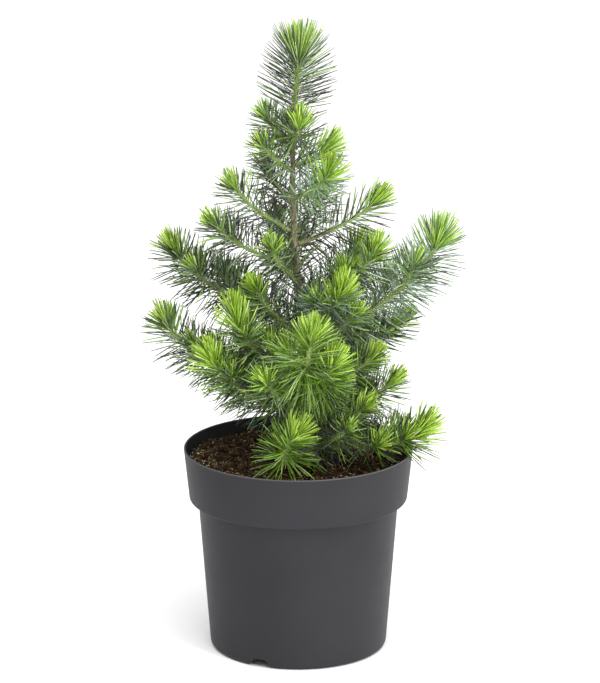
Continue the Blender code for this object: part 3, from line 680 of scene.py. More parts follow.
def needle_base(settings):
    """The pale papery base of each needle: straw and green in turn."""
    made, tree, shader, place = new_material("needle_base", settings.young, 0.7)
    own = add(tree, "ShaderNodeAttribute", attribute_name="tone").outputs["Fac"]
    stops = ((0.0, settings.young), (1.0, settings.straw))
    feed(tree, shader, {"Base Color": add(tree, "ShaderNodeValToRGB", {"Fac": own}, stops)})
    roughen(tree, shader, place, 0.7, 3.0, 0.4, 0.2)
    return made


def needle_cuticle(name, colour, kind):
    """The skin of a juvenile needle: a thin waxy cuticle, half glossy. A growing one goes from a darker
    green at its root, which is painted shade by the stem, to pale lime at its tip; a grown one goes from
    straw to a dark tip, which is painted shade. Some turn pale: partly their paler inner side, partly a
    painted glossy highlight."""
    made, tree, shader, place = new_material(name, colour, kind.rough)
    along = add(tree, "ShaderNodeAttribute", attribute_name="along").outputs["Fac"]
    tip = linear(kind.tip)
    # The darker green root of a growing needle and the dark tip of a grown one are painted shade
    stops = (
        (0.0, blended(colour, linear(kind.root), kind.root_share)),
        (0.25, colour),
        (0.6, blended(colour, tip, kind.tip_share * 0.6)),
        (1.0, blended(colour, tip, kind.tip_share)),
    )
    paint = add(tree, "ShaderNodeValToRGB", {"Fac": along}, stops)
    own = add(tree, "ShaderNodeAttribute", attribute_name="tone").outputs["Fac"]
    light = add(tree, "ShaderNodeMapRange", {"Value": own, "To Min": TONES[0], "To Max": TONES[1]})
    # Needles of high tone are mixed towards pale green: partly their paler inner side, partly a painted
    # glossy highlight
    turned = add(tree, "ShaderNodeMapRange", {"Value": own, "From Min": PALE_SIDE_AND_HIGHLIGHT_FROM, "To Max": kind.pale})
    colours = {"Factor": turned, "A": paint, "B": (*linear("#CCDCA8"), 1.0)}
    side_and_highlight_paled = add(tree, "ShaderNodeMix", colours, data_type="RGBA")
    lit = add(tree, "ShaderNodeVectorMath", {0: side_and_highlight_paled, "Scale": light}, operation="SCALE")
    feed(tree, shader, {"Base Color": lit, "Sheen Weight": kind.wax, "Sheen Roughness": 0.4})
    # Rows of pores 0.1 mm apart run along a needle, and are drawn at 0.4 mm so that they show close up
    roughen(tree, shader, place, 0.4, 1.0, 0.15, 0.1)
    return made


def pale_card(colour):
    """Matt seamless card: even and nearly white."""
    made, tree, shader, place = new_material("pale_card", colour, 0.9)
    roughen(tree, shader, place, 2, 2.0, 0.03, 0.1)
    return made


# The plant's lines, by the same rule as its solids


def smooth_step(share):
    share = min(max(share, 0.0), 1.0)
    return share * share * (3.0 - 2.0 * share)


def trunk_axis(height):
    """The middle of the trunk or leader at a height."""
    fallen = smooth_step((height - SOIL_LEVEL) / (TRUNK_LEAN_END_Z - SOIL_LEVEL))
    low, high = TRUNK_RETURN_Z
    back = smooth_step((height - low) / (high - low))
    return Vector((TRUNK_FOOT_X - TRUNK_LEAN * fallen + TRUNK_RETURN * back, 0.0, height))


def trunk_radius(height):
    share = (height - TRUNK_FOOT_Z) / (TRUNK_TIP_Z - TRUNK_FOOT_Z)
    taper = TRUNK_FOOT_RADIUS + (TRUNK_TIP_RADIUS - TRUNK_FOOT_RADIUS) * share
    return taper + FLARE * math.exp(-(height - TRUNK_FOOT_Z) / FLARE_HEIGHT)


def direction(bearing, pitch):
    flat = math.cos(math.radians(pitch))
    turn = math.radians(bearing)
    return Vector((flat * math.cos(turn), flat * math.sin(turn), math.sin(math.radians(pitch))))


def even_steps(points, step):
    """The same line with points at equal steps along it."""
    line = np.array(points)
    lengths = np.concatenate(([0.0], np.cumsum(np.linalg.norm(np.diff(line, axis=0), axis=1))))
    count = max(2, round(lengths[-1] / step) + 1)
    stations = np.linspace(0.0, lengths[-1], count)
    return np.stack([np.interp(stations, lengths, line[:, axis]) for axis in range(3)], axis=1)


def bend(start, start_way, end, end_way, sweep=END_HANDLE):
    """A smooth line from start to end that leaves and arrives along the two ways."""
    chord = (end - start).length
    first = start + start_way * chord * START_HANDLE
    last = end - end_way * chord * sweep
    shares = np.linspace(0.0, 1.0, BEND_POINTS)[:, None]
    back = 1.0 - shares
    points = back**3 * np.array(start) + 3 * back**2 * shares * np.array(first)
    points = points + 3 * back * shares**2 * np.array(last) + shares**3 * np.array(end)
    return even_steps(points, PATH_STEP)


def line_length(line):
    return float(np.linalg.norm(np.diff(line, axis=0), axis=1).sum())


def root_radius(line):
    return STEM_TIP_RADIUS + STEM_GROWTH * line_length(line)


def part_of(line, first, last):
    """The stretch of the line between two shares of its length, with exact ends."""
    stations = np.linspace(0.0, 1.0, len(line))
    inside = stations[(stations > first) & (stations < last)]
    wanted = np.concatenate(([first], inside, [last]))
    return np.stack([np.interp(wanted, stations, line[:, axis]) for axis in range(3)], axis=1)


def end_clearance(centre, way, radius):
    """How far the flat end of a limb, set square to its way, stands off the trunk's skin."""
    across = way.orthogonal().normalized()
    gaps = []
    for k in range(END_PROBES):
        rim = centre + Matrix.Rotation(2.0 * math.pi * k / END_PROBES, 3, way) @ across * radius
        axis = trunk_axis(rim.z)
        gaps.append(math.hypot(rim.x - axis.x, rim.y - axis.y) - trunk_radius(rim.z))
    return min(gaps)


def seated(line):
    """The line without its stretch inside the trunk."""
    radius = root_radius(line)
    way = Vector(line[1] - line[0]).normalized()
    for station in np.arange(0.0, line_length(line), SEAT_STEP):
        cut = part_of(line, station / line_length(line), 1.0)
        if end_clearance(Vector(cut[0]), way, radius) >= GAP:
            break
    return cut


def shoot_line(shoot, upturn=0.0, swing=0.0, sweep=END_HANDLE):
    """The shoot's line from the trunk's surface to its tip, which may turn up and round more."""
    foot = trunk_axis(shoot.join * MM)
    chord_pitch = math.degrees(math.atan2(shoot.rise, shoot.reach))
    tip = foot + direction(shoot.bearing, 0.0) * shoot.reach * MM + Vector((0.0, 0.0, shoot.rise * MM))
    leaving = direction(shoot.bearing, chord_pitch - shoot.lift * START_DIP)
    arriving = direction(shoot.bearing + swing, chord_pitch + shoot.lift + upturn)
    return seated(bend(foot, leaving, tip, arriving, sweep))


def side_line(line, at, spread, length):
    """A twig's line: it leaves the stem at a share of its length and turns up like it."""
    index = min(max(round(at * (len(line) - 1)), 1), len(line) - 2)
    way = Vector(line[index + 1] - line[index - 1]).normalized()
    bearing = math.degrees(math.atan2(way.y, way.x)) + spread
    pitch = math.degrees(math.asin(way.z)) + TWIG_RISE
    start = Vector(line[index])
    tip = start + direction(bearing, pitch) * length
    return bend(start, direction(bearing, pitch - TWIG_RISE), tip, direction(bearing, pitch + TWIG_RISE))


def twig_lines(shoot, line):
    """The side twigs that the solids have too, from the same seeded draws."""
    chance = random.Random(SEED + 1 + SHOOTS.index(shoot))
    lines = []
    side = chance.choice((-1, 1))
    for k in range(shoot.twigs):
        spread = side * chance.uniform(*TWIG_SPREAD)
        length = line_length(line) * chance.uniform(*TWIG_SHARE)
        lines.append(side_line(line, TWIG_FIRST + k * TWIG_SPACING, spread, length))
        side = -side
    return lines


def plant():
    """Every stem: the leader, the shoots, their side twigs and the finer ones between them."""
    heights = np.arange(TRUNK_TIP_Z, LEADER_APEX_Z, PATH_STEP)
    leader = np.array([trunk_axis(height) for height in heights])
    stems = [Stem(leader, TRUNK_TIP_RADIUS, LEADER_THIN, "leader", LOOKS["leader"])]
    for number, shoot in enumerate(SHOOTS + SMALL_SHOOTS):
        chance = random.Random(LOOK_SEED + number)
        look = LOOKS[shoot.name]
        line = shoot_line(shoot, look.upturn, look.swing, look.sweep)
        stems.append(Stem(line, root_radius(line), SHOOT_THIN, "shoot", look))
        crowd = min(FINE_CROWD, look.crowd)
        small = look._replace(
            bright=look.side, tip_size=FINE_TIP_SIZE, flare=FINE_FLARE, tuft=1.0, crowd=crowd
        )
        for twig in twig_lines(shoot, line) if shoot in SHOOTS else []:
            stems.append(Stem(twig, *TWIG_RADII, "twig", small))
        side = chance.choice((-1, 1))
        for k in range(look.fine):
            at = chance.uniform(*FINE_FIRST)
            fine = side_line(line, at, side * chance.uniform(*FINE_SPREAD), chance.uniform(*FINE_LENGTH))
            stems.append(Stem(fine, *FINE_RADII, "fine", small))
            side = -side
        bud = look._replace(tip_size=look.tip_size * BUD_TIP_SIZE, crowd=BUD_CROWD, tuft=BUD_TUFT)
        for k in range(look.buds):
            at = 1.0 - chance.uniform(*BUD_BELOW) / line_length(line)
            short = side_line(line, at, side * chance.uniform(*BUD_SPREAD), chance.uniform(*BUD_LENGTH))
            stems.append(Stem(short, *FINE_RADII, "bud", bud))
            side = -side
    return stems


# Needles


def clear_of_pot(points):
    """Whether each point stays above the compost and off the pot's wall."""
    out = np.hypot(points[:, 0], points[:, 1])
    over_wall = out > RIM_RADIUS - POT_WALL - POT_MARGIN
    floor = np.where(over_wall, POT_HEIGHT, SOIL_LEVEL) + POT_MARGIN
    return (out > RIM_RADIUS + POT_MARGIN) | (points[:, 2] > floor)


def clear_of_trunk(points):
    """Whether each point stays outside the trunk."""
    for x, y, z in points:
        if TRUNK_FOOT_Z < z < TRUNK_TIP_Z:
            axis = trunk_axis(z)
            if math.hypot(x - axis.x, y - axis.y) < trunk_radius(z) + LIMB_MARGIN:
                return False
    return True


def fits(root, tip):
    """Whether a needle from root to tip stays out of the pot and trunk and within the crown's reach."""
    shares = np.array(PROBE_SHARES)[:, None]
    points = np.array(root) * (1 - shares) + np.array(tip) * shares
    inside = all(CAD_LOW[axis] - BOX_SLACK < tip[axis] < CAD_HIGH[axis] + BOX_SLACK for axis in range(3))
    return inside and bool(clear_of_pot(points).all()) and clear_of_trunk(points)


def needle_kind(from_tip, lean, rise, look, depth, chance):
    """The colour kind for a needle's age, its lean, how far it points up, which brightens it as painted
    light from above, and how deep in the crown it is, which darkens it partly as age and partly as painted
    shade.
    """
    age = from_tip / MM
    outer = smooth_step((lean - OUTER_LEAN) / OUTER_WIDTH)
    green = "lush" if chance.random() < look.lush else "green"
    # Needles that point up stay bright further down the shoot: painted light from above
    bright = look.bright * (PAINTED_TOP_LIGHT[0] + PAINTED_TOP_LIGHT[1] * (0.5 + 0.5 * rise))
    if chance.random() < 1.0 / (1.0 + math.exp((age - bright) / BRIGHT_FADE)):
        if chance.random() < TUFT_GREEN + outer * max(0.0, look.dull - TUFT_DULL_FROM):
            return chance.choices((green, "deep", "waxy", "old"), (0.8, 0.2, look.bloom, look.dull))[0]
        return "fresh" if chance.random() < look.glow * min(1.0, 1.3 - age / bright / 2) else "spring"
    if chance.random() < look.bloom:
        return "waxy"
    # Deeper in the crown more needles are dull and old: partly age, partly painted shade
    dull = look.dull + DEEP_AGE_AND_SHADE * depth
    if age < look.bright + YOUNG_BAND:
        shares = (0.15, 1.0 - dull / 2, 0.1 + 0.4 * look.lush, dull * 0.9)
        return chance.choices(("spring", green, "deep", "old"), shares)[0]
    return chance.choices((green, "deep", "old"), (1.0 - dull * 0.65, 0.3 - dull * 0.15, dull * 1.5))[0]


def stations_of(stem, settings, chance):
    """Each needle's distance from the stem's tip, its lean and its share of full size."""
    length = line_length(stem.line)
    look = stem.look
    full = 1.0 if stem.kind in ("leader", "shoot") else SIDE_TUFT
    tuft = round(settings.tuft * full * look.tuft)
    stations = []
    from_tip = TUFT_DEPTH / 2
    while from_tip < length:
        near = math.exp(-((from_tip / MM / look.hold) ** HOLD_POWER))
        spread = look.loose + (LEAN_SPREAD - look.loose) * near
        lean = look.open + (look.flare - look.open) * near + chance.uniform(-1, 1) * spread
        size = look.tip_size + (1.0 - look.tip_size) * min(1.0, from_tip / SIZE_REACH)
        stations.append((from_tip, lean, size))
        crowding = 1.0 + CROWDING * math.exp(-from_tip / CROWDING_REACH)
        from_tip += chance.uniform(*SPACING_DRAW) * MM / (settings.density * look.crowd * crowding)
    for k in range(tuft):
        share = (k + 0.5) / tuft
        lean = TUFT_FIRST_LEAN + (look.flare - TUFT_FIRST_LEAN) * share**TUFT_FILL
        lean += chance.uniform(-1, 1) * (TUFT_SPREAD + look.loose * TUFT_LOOSENESS)
        size = look.tip_size * chance.uniform(*TUFT_DRAW)
        size *= 1.0 + look.level * (1.0 / math.cos(math.radians(min(lean, LEVEL_LEAN))) - 1.0)
        stations.append((TUFT_TOP + share * TUFT_DEPTH, lean, size))
    return stations


def needles_of(stem, settings, chance):
    """The needles of one stem, turned round it in a spiral."""
    length = line_length(stem.line)
    steps = np.linspace(0.0, length, len(stem.line))
    look = stem.look
    turn = chance.uniform(0.0, 360.0)
    made = []
    for from_tip, lean, size in stations_of(stem, settings, chance):
        turn += NEEDLE_TURN + chance.uniform(-1, 1) * TURN_SPREAD
        at = length - from_tip
        middle = Vector([float(np.interp(at, steps, stem.line[:, axis])) for axis in range(3)])
        index = min(max(int(np.searchsorted(steps, at)), 1), len(stem.line) - 1)
        way = Vector(stem.line[index] - stem.line[index - 1]).normalized()
        across = way.orthogonal().normalized()
        across.rotate(Matrix.Rotation(math.radians(turn), 3, way))
        radius = stem.thin + (stem.thick - stem.thin) * from_tip / length
        axis = trunk_axis(middle.z)
        depth = 1.0 - min(1.0, math.hypot(middle.x - axis.x, middle.y) / CROWN_RADIUS)
        reach = settings.length * look.length * size * chance.uniform(*LENGTH_DRAW)
        youth = math.exp(-from_tip / SIZE_REACH)
        droop = look.droop * (1.0 - youth) * chance.uniform(*DROOP_DRAW) + chance.uniform(*CURL_DRAW)
        inward = settings.inward * (LEAST_INWARD + youth) * chance.uniform(*INWARD_DRAW)
        needle = set_needle(middle + across * radius * ROOT_DEPTH, way, across, lean, reach)
        kind = needle_kind(from_tip, lean, needle.way.z, look, depth, chance)
        width = look.slim * chance.uniform(*WIDTH_DRAW) * KINDS[kind].width
        sideways = needle.way.cross(needle.up) * chance.uniform(-1, 1) * look.loose * SIDE_BEND
        bend = (needle.up * inward + sideways - Vector((0.0, 0.0, droop))) * reach
        needle = needle._replace(bend=bend, width=width, kind=kind, tone=chance.random())
        if fits(needle.root, needle.root + needle.way * reach + bend):
            made.append(needle)
    return made


def set_needle(root, way, across, lean, reach):
    """A straight needle that leans away from its stem."""
    angle = math.radians(lean)
    leaving = way * math.cos(angle) + across * math.sin(angle)
    up = (way - leaving * way.dot(leaving)).normalized()
    return Needle(root, leaving, up, Vector(), reach, 1.0, "green", 0.5)


def trunk_needles(settings, chance):
    """The older needles that the trunk itself still bears."""
    made = []
    turn = 0.0
    height = settings.trunk_from
    while height < TRUNK_TIP_Z:
        turn += NEEDLE_TURN
        across = direction(turn, 0.0)
        root = trunk_axis(height) + across * trunk_radius(height) * 0.9
        reach = settings.length * chance.uniform(*TRUNK_LENGTH_DRAW)
        kind = chance.choices(("green", "deep", "old"), TRUNK_KINDS)[0]
        lean = TRUNK_NEEDLE_LEAN + chance.uniform(*TRUNK_LEAN_DRAW)
        needle = set_needle(root, Vector((0.0, 0.0, 1.0)), across, lean, reach)
        needle = needle._replace(width=KINDS[kind].width, kind=kind, tone=chance.random())
        start = root + across * (LIMB_MARGIN + trunk_radius(height) * 0.2)
        if fits(start, root + needle.way * reach):
            made.append(needle)
        height += chance.uniform(*TRUNK_SPACING_DRAW) * MM / settings.trunk_density
    return made


def all_needles():
    """Every needle on the plant, in the order of its stems."""
    settings = bpy.context.scene.pine_needles
    made = trunk_needles(settings, random.Random(LOOK_SEED - 1))
    for number, stem in enumerate(plant()):
        made += needles_of(stem, settings, random.Random(LOOK_SEED + 500 + number))
    return made


def points_mesh(name, needles):
    """A mesh of loose points that carries each needle's way, curve and size."""
    mesh = bpy.data.meshes.new(name)
    mesh.from_pydata([tuple(needle.root) for needle in needles], [], [])
    for label in ("way", "up", "bend"):
        carry(mesh, label, [tuple(getattr(needle, label)) for needle in needles])
    carry(mesh, "size", [(needle.width, needle.width, needle.length) for needle in needles])
    carry(mesh, "tone", [needle.tone for needle in needles])
    return mesh


def needle_tree():
    """A curved, tapering, three-sided blade set on every point along its way."""
    sockets = {"Width": "Float", "Thickness": "Float", "Stations": "Int", "Finish": "Material"}
    tree, given = new_tree("needles_on_points", **sockets)
    ends = add(tree, "GeometryNodeCurvePrimitiveLine", {"Start": (0.0, 0.0, 0.0), "End": (0.0, 0.0, 1.0)})
    spine = add(tree, "GeometryNodeResampleCurve", {"Curve": ends, "Count": given["Stations"]})
    along = add(tree, "GeometryNodeSplineParameter")
    taper = add(tree, "ShaderNodeFloatCurve", {"Value": along})
    shape = taper.mapping.curves[0].points
    shape[0].location, shape[1].location = NEEDLE_TAPER[0], NEEDLE_TAPER[-1]
    for place, share in NEEDLE_TAPER[1:-1]:
        shape.new(place, share)
    taper.mapping.update()
    marks = {"Geometry": spine, "Name": "along", "Value": along}
    marked = add(tree, "GeometryNodeStoreNamedAttribute", marks, data_type="FLOAT", domain="POINT")
    radius = add(tree, "ShaderNodeMath", {0: taper, 1: given["Width"]}, operation="MULTIPLY")
    half = add(tree, "ShaderNodeMath", {0: radius, 1: 1.0 / math.sqrt(3.0)}, operation="MULTIPLY")
    ring = add(tree, "GeometryNodeCurvePrimitiveCircle", {"Resolution": 3, "Radius": 1.0})
    thin = add(tree, "ShaderNodeCombineXYZ", {"X": given["Thickness"], "Y": 1.0, "Z": 1.0})
    pose = {"Geometry": ring, "Rotation": (0.0, 0.0, -math.pi / 2), "Scale": thin}
    keeled = add(tree, "GeometryNodeTransform", pose)
    sweep = {"Curve": marked, "Profile Curve": keeled, "Scale": half, "Fill Caps": True}
    blade = add(tree, "GeometryNodeCurveToMesh", sweep)
    size = add(tree, "GeometryNodeInputNamedAttribute", {"Name": "size"}, data_type="FLOAT_VECTOR")
    placed = set_along_way(tree, blade, given["Geometry"], Scale=size)
    each = add(tree, "GeometryNodeRealizeInstances", {"Geometry": placed})
    spot = add(tree, "GeometryNodeInputNamedAttribute", {"Name": "along"}, data_type="FLOAT")
    squared = add(tree, "ShaderNodeMath", {0: spot, 1: spot}, operation="MULTIPLY")
    lean = add(tree, "GeometryNodeInputNamedAttribute", {"Name": "bend"}, data_type="FLOAT_VECTOR")
    return end_tree(tree, moved(tree, each, lean, squared), given["Finish"])


def cushion_tree():
    """The small raised base that each needle leaves the stem from."""
    tree, given = new_tree("cushions_on_points", Width="Float", Height="Float", Finish="Material")
    top = add(tree, "ShaderNodeMath", {0: given["Width"], 1: 0.25}, operation="MULTIPLY")
    foot = add(tree, "ShaderNodeMath", {0: given["Width"], 1: 0.5}, operation="MULTIPLY")
    shape = {"Vertices": 4, "Radius Top": top, "Radius Bottom": foot, "Depth": given["Height"]}
    cone = add(tree, "GeometryNodeMeshCone", shape)
    return end_tree(tree, set_along_way(tree, cone, given["Geometry"]), given["Finish"])


# Limbs


def lines_mesh(name, lines, radii, ages=None):
    """Loose edge lines with a radius at each point, and an age from 0 at a tip to 1."""
    points = []
    edges = []
    for line in lines:
        first = len(points)
        points.extend(tuple(point) for point in line)
        edges.extend((k, k + 1) for k in range(first, len(points) - 1))
    mesh = bpy.data.meshes.new(name)
    mesh.from_pydata(points, edges, [])
    carry(mesh, "thickness", np.concatenate(radii))
    if ages:
        carry(mesh, "age", np.concatenate(ages))
    return mesh


def limb_tree():
    """A round limb along each line, with its thickness and the relief of its bark."""
    sockets = {"Sides": "Int", "Relief": "Float", "Flake": "Float", "Finish": "Material"}
    tree, given = new_tree("limbs_along_lines", **sockets)
    curve = add(tree, "GeometryNodeMeshToCurve", {"Mesh": given["Geometry"]})
    thickness = add(tree, "GeometryNodeInputNamedAttribute", {"Name": "thickness"}, data_type="FLOAT")
    ring = add(tree, "GeometryNodeCurvePrimitiveCircle", {"Resolution": given["Sides"], "Radius": 1.0})
    sweep = {"Curve": curve, "Profile Curve": ring, "Scale": thickness, "Fill Caps": True}
    skin = add(tree, "GeometryNodeCurveToMesh", sweep)
    place = add(tree, "GeometryNodeInputPosition")
    stretched = add(tree, "ShaderNodeVectorMath", {0: place, 1: FLAKE_STRETCH}, operation="MULTIPLY")
    fine = add(tree, "ShaderNodeMath", {0: 1.0, 1: given["Flake"]}, operation="DIVIDE")
    flakes = add(tree, "ShaderNodeTexVoronoi", {"Vector": stretched, "Scale": fine})
    # A flake stands up at its middle and sinks towards its cracks
    heights = {"Value": flakes, "From Min": 0.0, "From Max": 0.9, "To Min": 0.6, "To Max": -1.0}
    lift = add(tree, "ShaderNodeMapRange", heights)
    amount = add(tree, "ShaderNodeMath", {0: lift, 1: given["Relief"]}, operation="MULTIPLY")
    rough = moved(tree, skin, add(tree, "GeometryNodeInputNormal"), amount)
    return end_tree(tree, add(tree, "GeometryNodeSetShadeSmooth", {"Geometry": rough}), given["Finish"])


# Compost


def risen(radius, start, width):
    """How far up a slope a radius is, from 0 at its start to 1 at its end."""
    return smooth_step((radius - start) / width)


def bearing_of(x, y):
    return math.degrees(math.atan2(y, x)) % 360.0


def nearness(bearing, middle, spread):
    """How near a bearing is to a middle one, from 1 there down to 0."""
    return math.exp(-(((bearing - middle) / spread) ** 2))


def soil_lumps(x, y):
    """How far the clods and crumbs of the compost's top stand up, in millimetres."""
    point = Vector((x, y, 0.0))
    clods = CLOD_HEIGHT * abs(noise.noise(point / CLOD_WIDTH + Vector((3.0, 7.0, 1.0)))) - CLOD_SINK
    crumbs = CRUMB_HEIGHT * noise.noise(point / CRUMB_WIDTH + Vector((9.0, 2.0, 5.0)))
    return clods + crumbs


def soil_rise(x, y):
    """How far the compost's top stands above its usual level, in millimetres: it banks up at the left."""
    mounds = MOUND_HEIGHT * noise.noise(Vector((x, y, 0.0)) / MOUND_WIDTH)
    calm = risen(math.hypot(x - TRUNK_FOOT_X, y), *CALM)
    bank = BANK_HEIGHT * risen(math.hypot(x, y), *BANK_SLOPE) * nearness(bearing_of(x, y), *BANK)
    return (mounds + soil_lumps(x, y) - MOUND_SINK + bank) * calm


def soil_mesh():
    """The compost as a closed disc, lumpy on top and flat below, that knows how high each point is."""
    outer = SOIL_WALL - GAP
    work = bmesh.new()
    rise_of = work.verts.layers.float.new("rise")
    loops = []
    for r in range(SOIL_RINGS + 1):
        radius = outer * r / SOIL_RINGS
        loop = []
        for k in range(SOIL_SIDES if r else 1):
            turn = 2.0 * math.pi * k / SOIL_SIDES
            x, y = radius * math.cos(turn), radius * math.sin(turn)
            point = work.verts.new((x, y, SOIL_LEVEL - SOIL_DROP + soil_rise(x, y) * MM))
            point[rise_of] = min(1.0, max(0.0, 0.5 + soil_lumps(x, y) / LUMP_RANGE))
            loop.append(point)
        loops.append(loop)
    foot = SOIL_LEVEL - SOIL_THICKNESS
    skirt = [work.verts.new((v.co.x * SKIRT_SHARE, v.co.y * SKIRT_SHARE, foot)) for v in loops[-1]]
    middle = loops.pop(0)[0]
    for k in range(SOIL_SIDES):
        after = (k + 1) % SOIL_SIDES
        work.faces.new((middle, loops[0][k], loops[0][after]))
        for inner, out in zip(loops, [*loops[1:], skirt]):
            work.faces.new((inner[k], out[k], out[after], inner[after]))
    work.faces.new(list(reversed(skirt)))
    bmesh.ops.recalc_face_normals(work, faces=work.faces)
    mesh = mesh_of(work, "compost")
    mesh.shade_smooth()
    return mesh


# Bits that lie on the compost: their smallest and largest half sizes and how far their skin is broken,
# in millimetres, how round they are (subdivisions), how many lie on each square metre, and whether
# they lie only where grit does
Litter = namedtuple("Litter", "name finish colour small large broken detail amount gritty seed")
LITTER = (
    Litter(
        "peat_clods", "damp_peat_clod", "#352617",
        (1.4, 1.1, 0.9), (4.2, 3.2, 2.4), 2.6, 3, 11000, False, 6,
    ),
    Litter(
        "peat_crumbs", "peat_crumb", "#3A2918", (0.5, 0.4, 0.3), (1.7, 1.3, 1.1), 1.6, 1, 80000, False, 1
    ),
    Litter(
        "bark_chips", "composted_bark_chip", "#6C4A2C",
        (0.7, 0.5, 0.2), (3.2, 1.5, 0.6), 1.2, 2, 22000, False, 2,
    ),
    Litter(
        "peat_fibres", "dry_peat_fibre", "#806640",
        (1.5, 0.16, 0.12), (5.0, 0.32, 0.22), 2.0, 1, 22000, False, 3,
    ),
    Litter(
        "straw_bits", "bleached_bark_bit", "#AA966A",
        (0.5, 0.3, 0.2), (2.0, 0.8, 0.5), 1.0, 1, 125000, True, 4,
    ),
    Litter(
        "pale_grit", "pale_grit", "#C4B894", (0.35, 0.3, 0.25), (1.1, 0.9, 0.6), 0.6, 1, 150000, True, 5
    ),
)


def grit_at(x, y):
    """How much pale grit lies at a place: most by the wall at the front right and at the left."""
    edge = risen(math.hypot(x, y), *GRIT_SLOPE)
    heaps = sum(amount * nearness(bearing_of(x, y), *heap) for amount, *heap in GRIT_HEAPS)
    patch = 0.5 + noise.noise(Vector((x, y, 0.0)) / GRIT_PATCH + Vector((1.0, 4.0, 2.0)))
    return max(0.0, min(1.0, GRIT_LEAST + edge * heaps * patch))


def scatter_tree():
    """Small bits scattered over a surface, each turned and sized at random."""
    sizes = {"Smallest": "Vector", "Largest": "Vector", "Broken": "Float", "Detail": "Int"}
    tree, given = new_tree("bits_on_surface", Density="Float", **sizes, Seed="Int", Finish="Material")
    share = add(tree, "GeometryNodeInputNamedAttribute", {"Name": "share"}, data_type="FLOAT")
    density = add(tree, "ShaderNodeMath", {0: share, 1: given["Density"]}, operation="MULTIPLY")
    spread = {"Mesh": given["Geometry"], "Density": density, "Seed": given["Seed"]}
    spots = add(tree, "GeometryNodeDistributePointsOnFaces", spread)
    bit = add(tree, "GeometryNodeMeshIcoSphere", {"Radius": 1.0, "Subdivisions": given["Detail"]})
    turns = {0: (-0.5, -0.5, 0.0), 1: (0.5, 0.5, 2.0 * math.pi), "Seed": 5}
    turn = add(tree, "FunctionNodeRandomValue", turns, data_type="FLOAT_VECTOR")
    spans = {0: given["Smallest"], 1: given["Largest"], "Seed": 9}
    size = add(tree, "FunctionNodeRandomValue", spans, data_type="FLOAT_VECTOR")
    places = {"Points": spots, "Instance": bit, "Rotation": turn, "Scale": size}
    placed = add(tree, "GeometryNodeInstanceOnPoints", places)
    each = add(tree, "GeometryNodeRealizeInstances", {"Geometry": placed})
    place = add(tree, "GeometryNodeInputPosition")
    chipped = add(tree, "ShaderNodeTexNoise", {"Vector": place, "Scale": 1000 / 1.5, "Detail": 1.0})
    middle = {0: chipped.outputs["Color"], 1: (0.5, 0.5, 0.5)}
    centred = add(tree, "ShaderNodeVectorMath", middle, operation="SUBTRACT")
    return end_tree(tree, moved(tree, each, centred, given["Broken"]), given["Finish"])


def soil_top(litter):
    """The compost's top faces where the litter has room, with the share of it that lies at each point."""
    room = (max(litter.large) + litter.broken / 2) * MM
    whole = soil_mesh()
    work = bmesh.new()
    work.from_mesh(whole)
    bpy.data.meshes.remove(whole)
    bare = []
    for point in work.verts:
        by_trunk = math.hypot(point.co.x - TRUNK_FOOT_X, point.co.y) < TRUNK_CLEARING + room / 2
        by_wall = math.hypot(point.co.x, point.co.y) > SOIL_WALL - room
        if by_trunk or by_wall or point.co.z < SOIL_LEVEL - SOIL_LOWEST:
            bare.append(point)
    bmesh.ops.delete(work, geom=bare, context="VERTS")
    mesh = mesh_of(work, litter.name)
    carry(mesh, "share", [grit_at(v.co.x, v.co.y) if litter.gritty else 1.0 for v in mesh.vertices])
    return mesh


# Pot


def pot_profile():
    """Points down the pot's inner side to the middle of its floor, then out and up its outer side."""
    shelf = GROOVE_DEPTH + POT_WALL
    ring_inner = FOOT_RADIUS - FOOT_RING
    slope = (BODY_TOP_RADIUS - FOOT_RADIUS) / BODY_TOP_Z
    inside = [
        (COLLAR_FOOT_RADIUS - POT_WALL, COLLAR_FOOT_Z + POT_WALL),
        (BODY_TOP_RADIUS - POT_WALL, BODY_TOP_Z + POT_WALL / 2),
        (FOOT_RADIUS + slope * shelf - POT_WALL, shelf),
        (PAD_RADIUS + POT_WALL / 2, shelf),
        (PAD_RADIUS - POT_WALL, POT_WALL),
        (0.0, POT_WALL),
        (0.0, 0.0),
        (PAD_RADIUS - SMALL_EDGE, 0.0),
        (PAD_RADIUS, SMALL_EDGE),
        (PAD_RADIUS + GROOVE_SLOPE, GROOVE_DEPTH),
        (ring_inner - GROOVE_SLOPE, GROOVE_DEPTH),
        (ring_inner, SMALL_EDGE),
        (ring_inner + SMALL_EDGE, 0.0),
    ]
    foot = rounded((FOOT_RADIUS - 0.0042, 0.0), (FOOT_RADIUS, 0.0), (FOOT_RADIUS + slope * 0.005, 0.005), 6)
    collar = rounded(
        (COLLAR_FOOT_RADIUS + 0.0002, COLLAR_FOOT_Z + 0.0020),
        (COLLAR_FOOT_RADIUS, COLLAR_FOOT_Z),
        (COLLAR_FOOT_RADIUS - 0.0016, COLLAR_FOOT_Z),
        6,
    )
    step = rounded(
        (BODY_TOP_RADIUS + 0.0010, BODY_TOP_Z + 0.0001),
        (BODY_TOP_RADIUS, BODY_TOP_Z),
        (BODY_TOP_RADIUS - slope * 0.0010, BODY_TOP_Z - 0.0010),
        3,
    )
    lip_outer = rounded(
        (RIM_RADIUS - 0.0002, POT_HEIGHT - 0.0012),
        (RIM_RADIUS, POT_HEIGHT),
        (RIM_RADIUS - 0.0008, POT_HEIGHT),
        4,
    )
    lip_inner = rounded(
        (RIM_RADIUS - 0.0009, POT_HEIGHT),
        (RIM_RADIUS - POT_WALL, POT_HEIGHT),
        (RIM_RADIUS - POT_WALL - 0.0002, POT_HEIGHT - 0.0010),
        4,
    )
    return inside + foot + list(reversed(collar + step)) + lip_outer + lip_inner


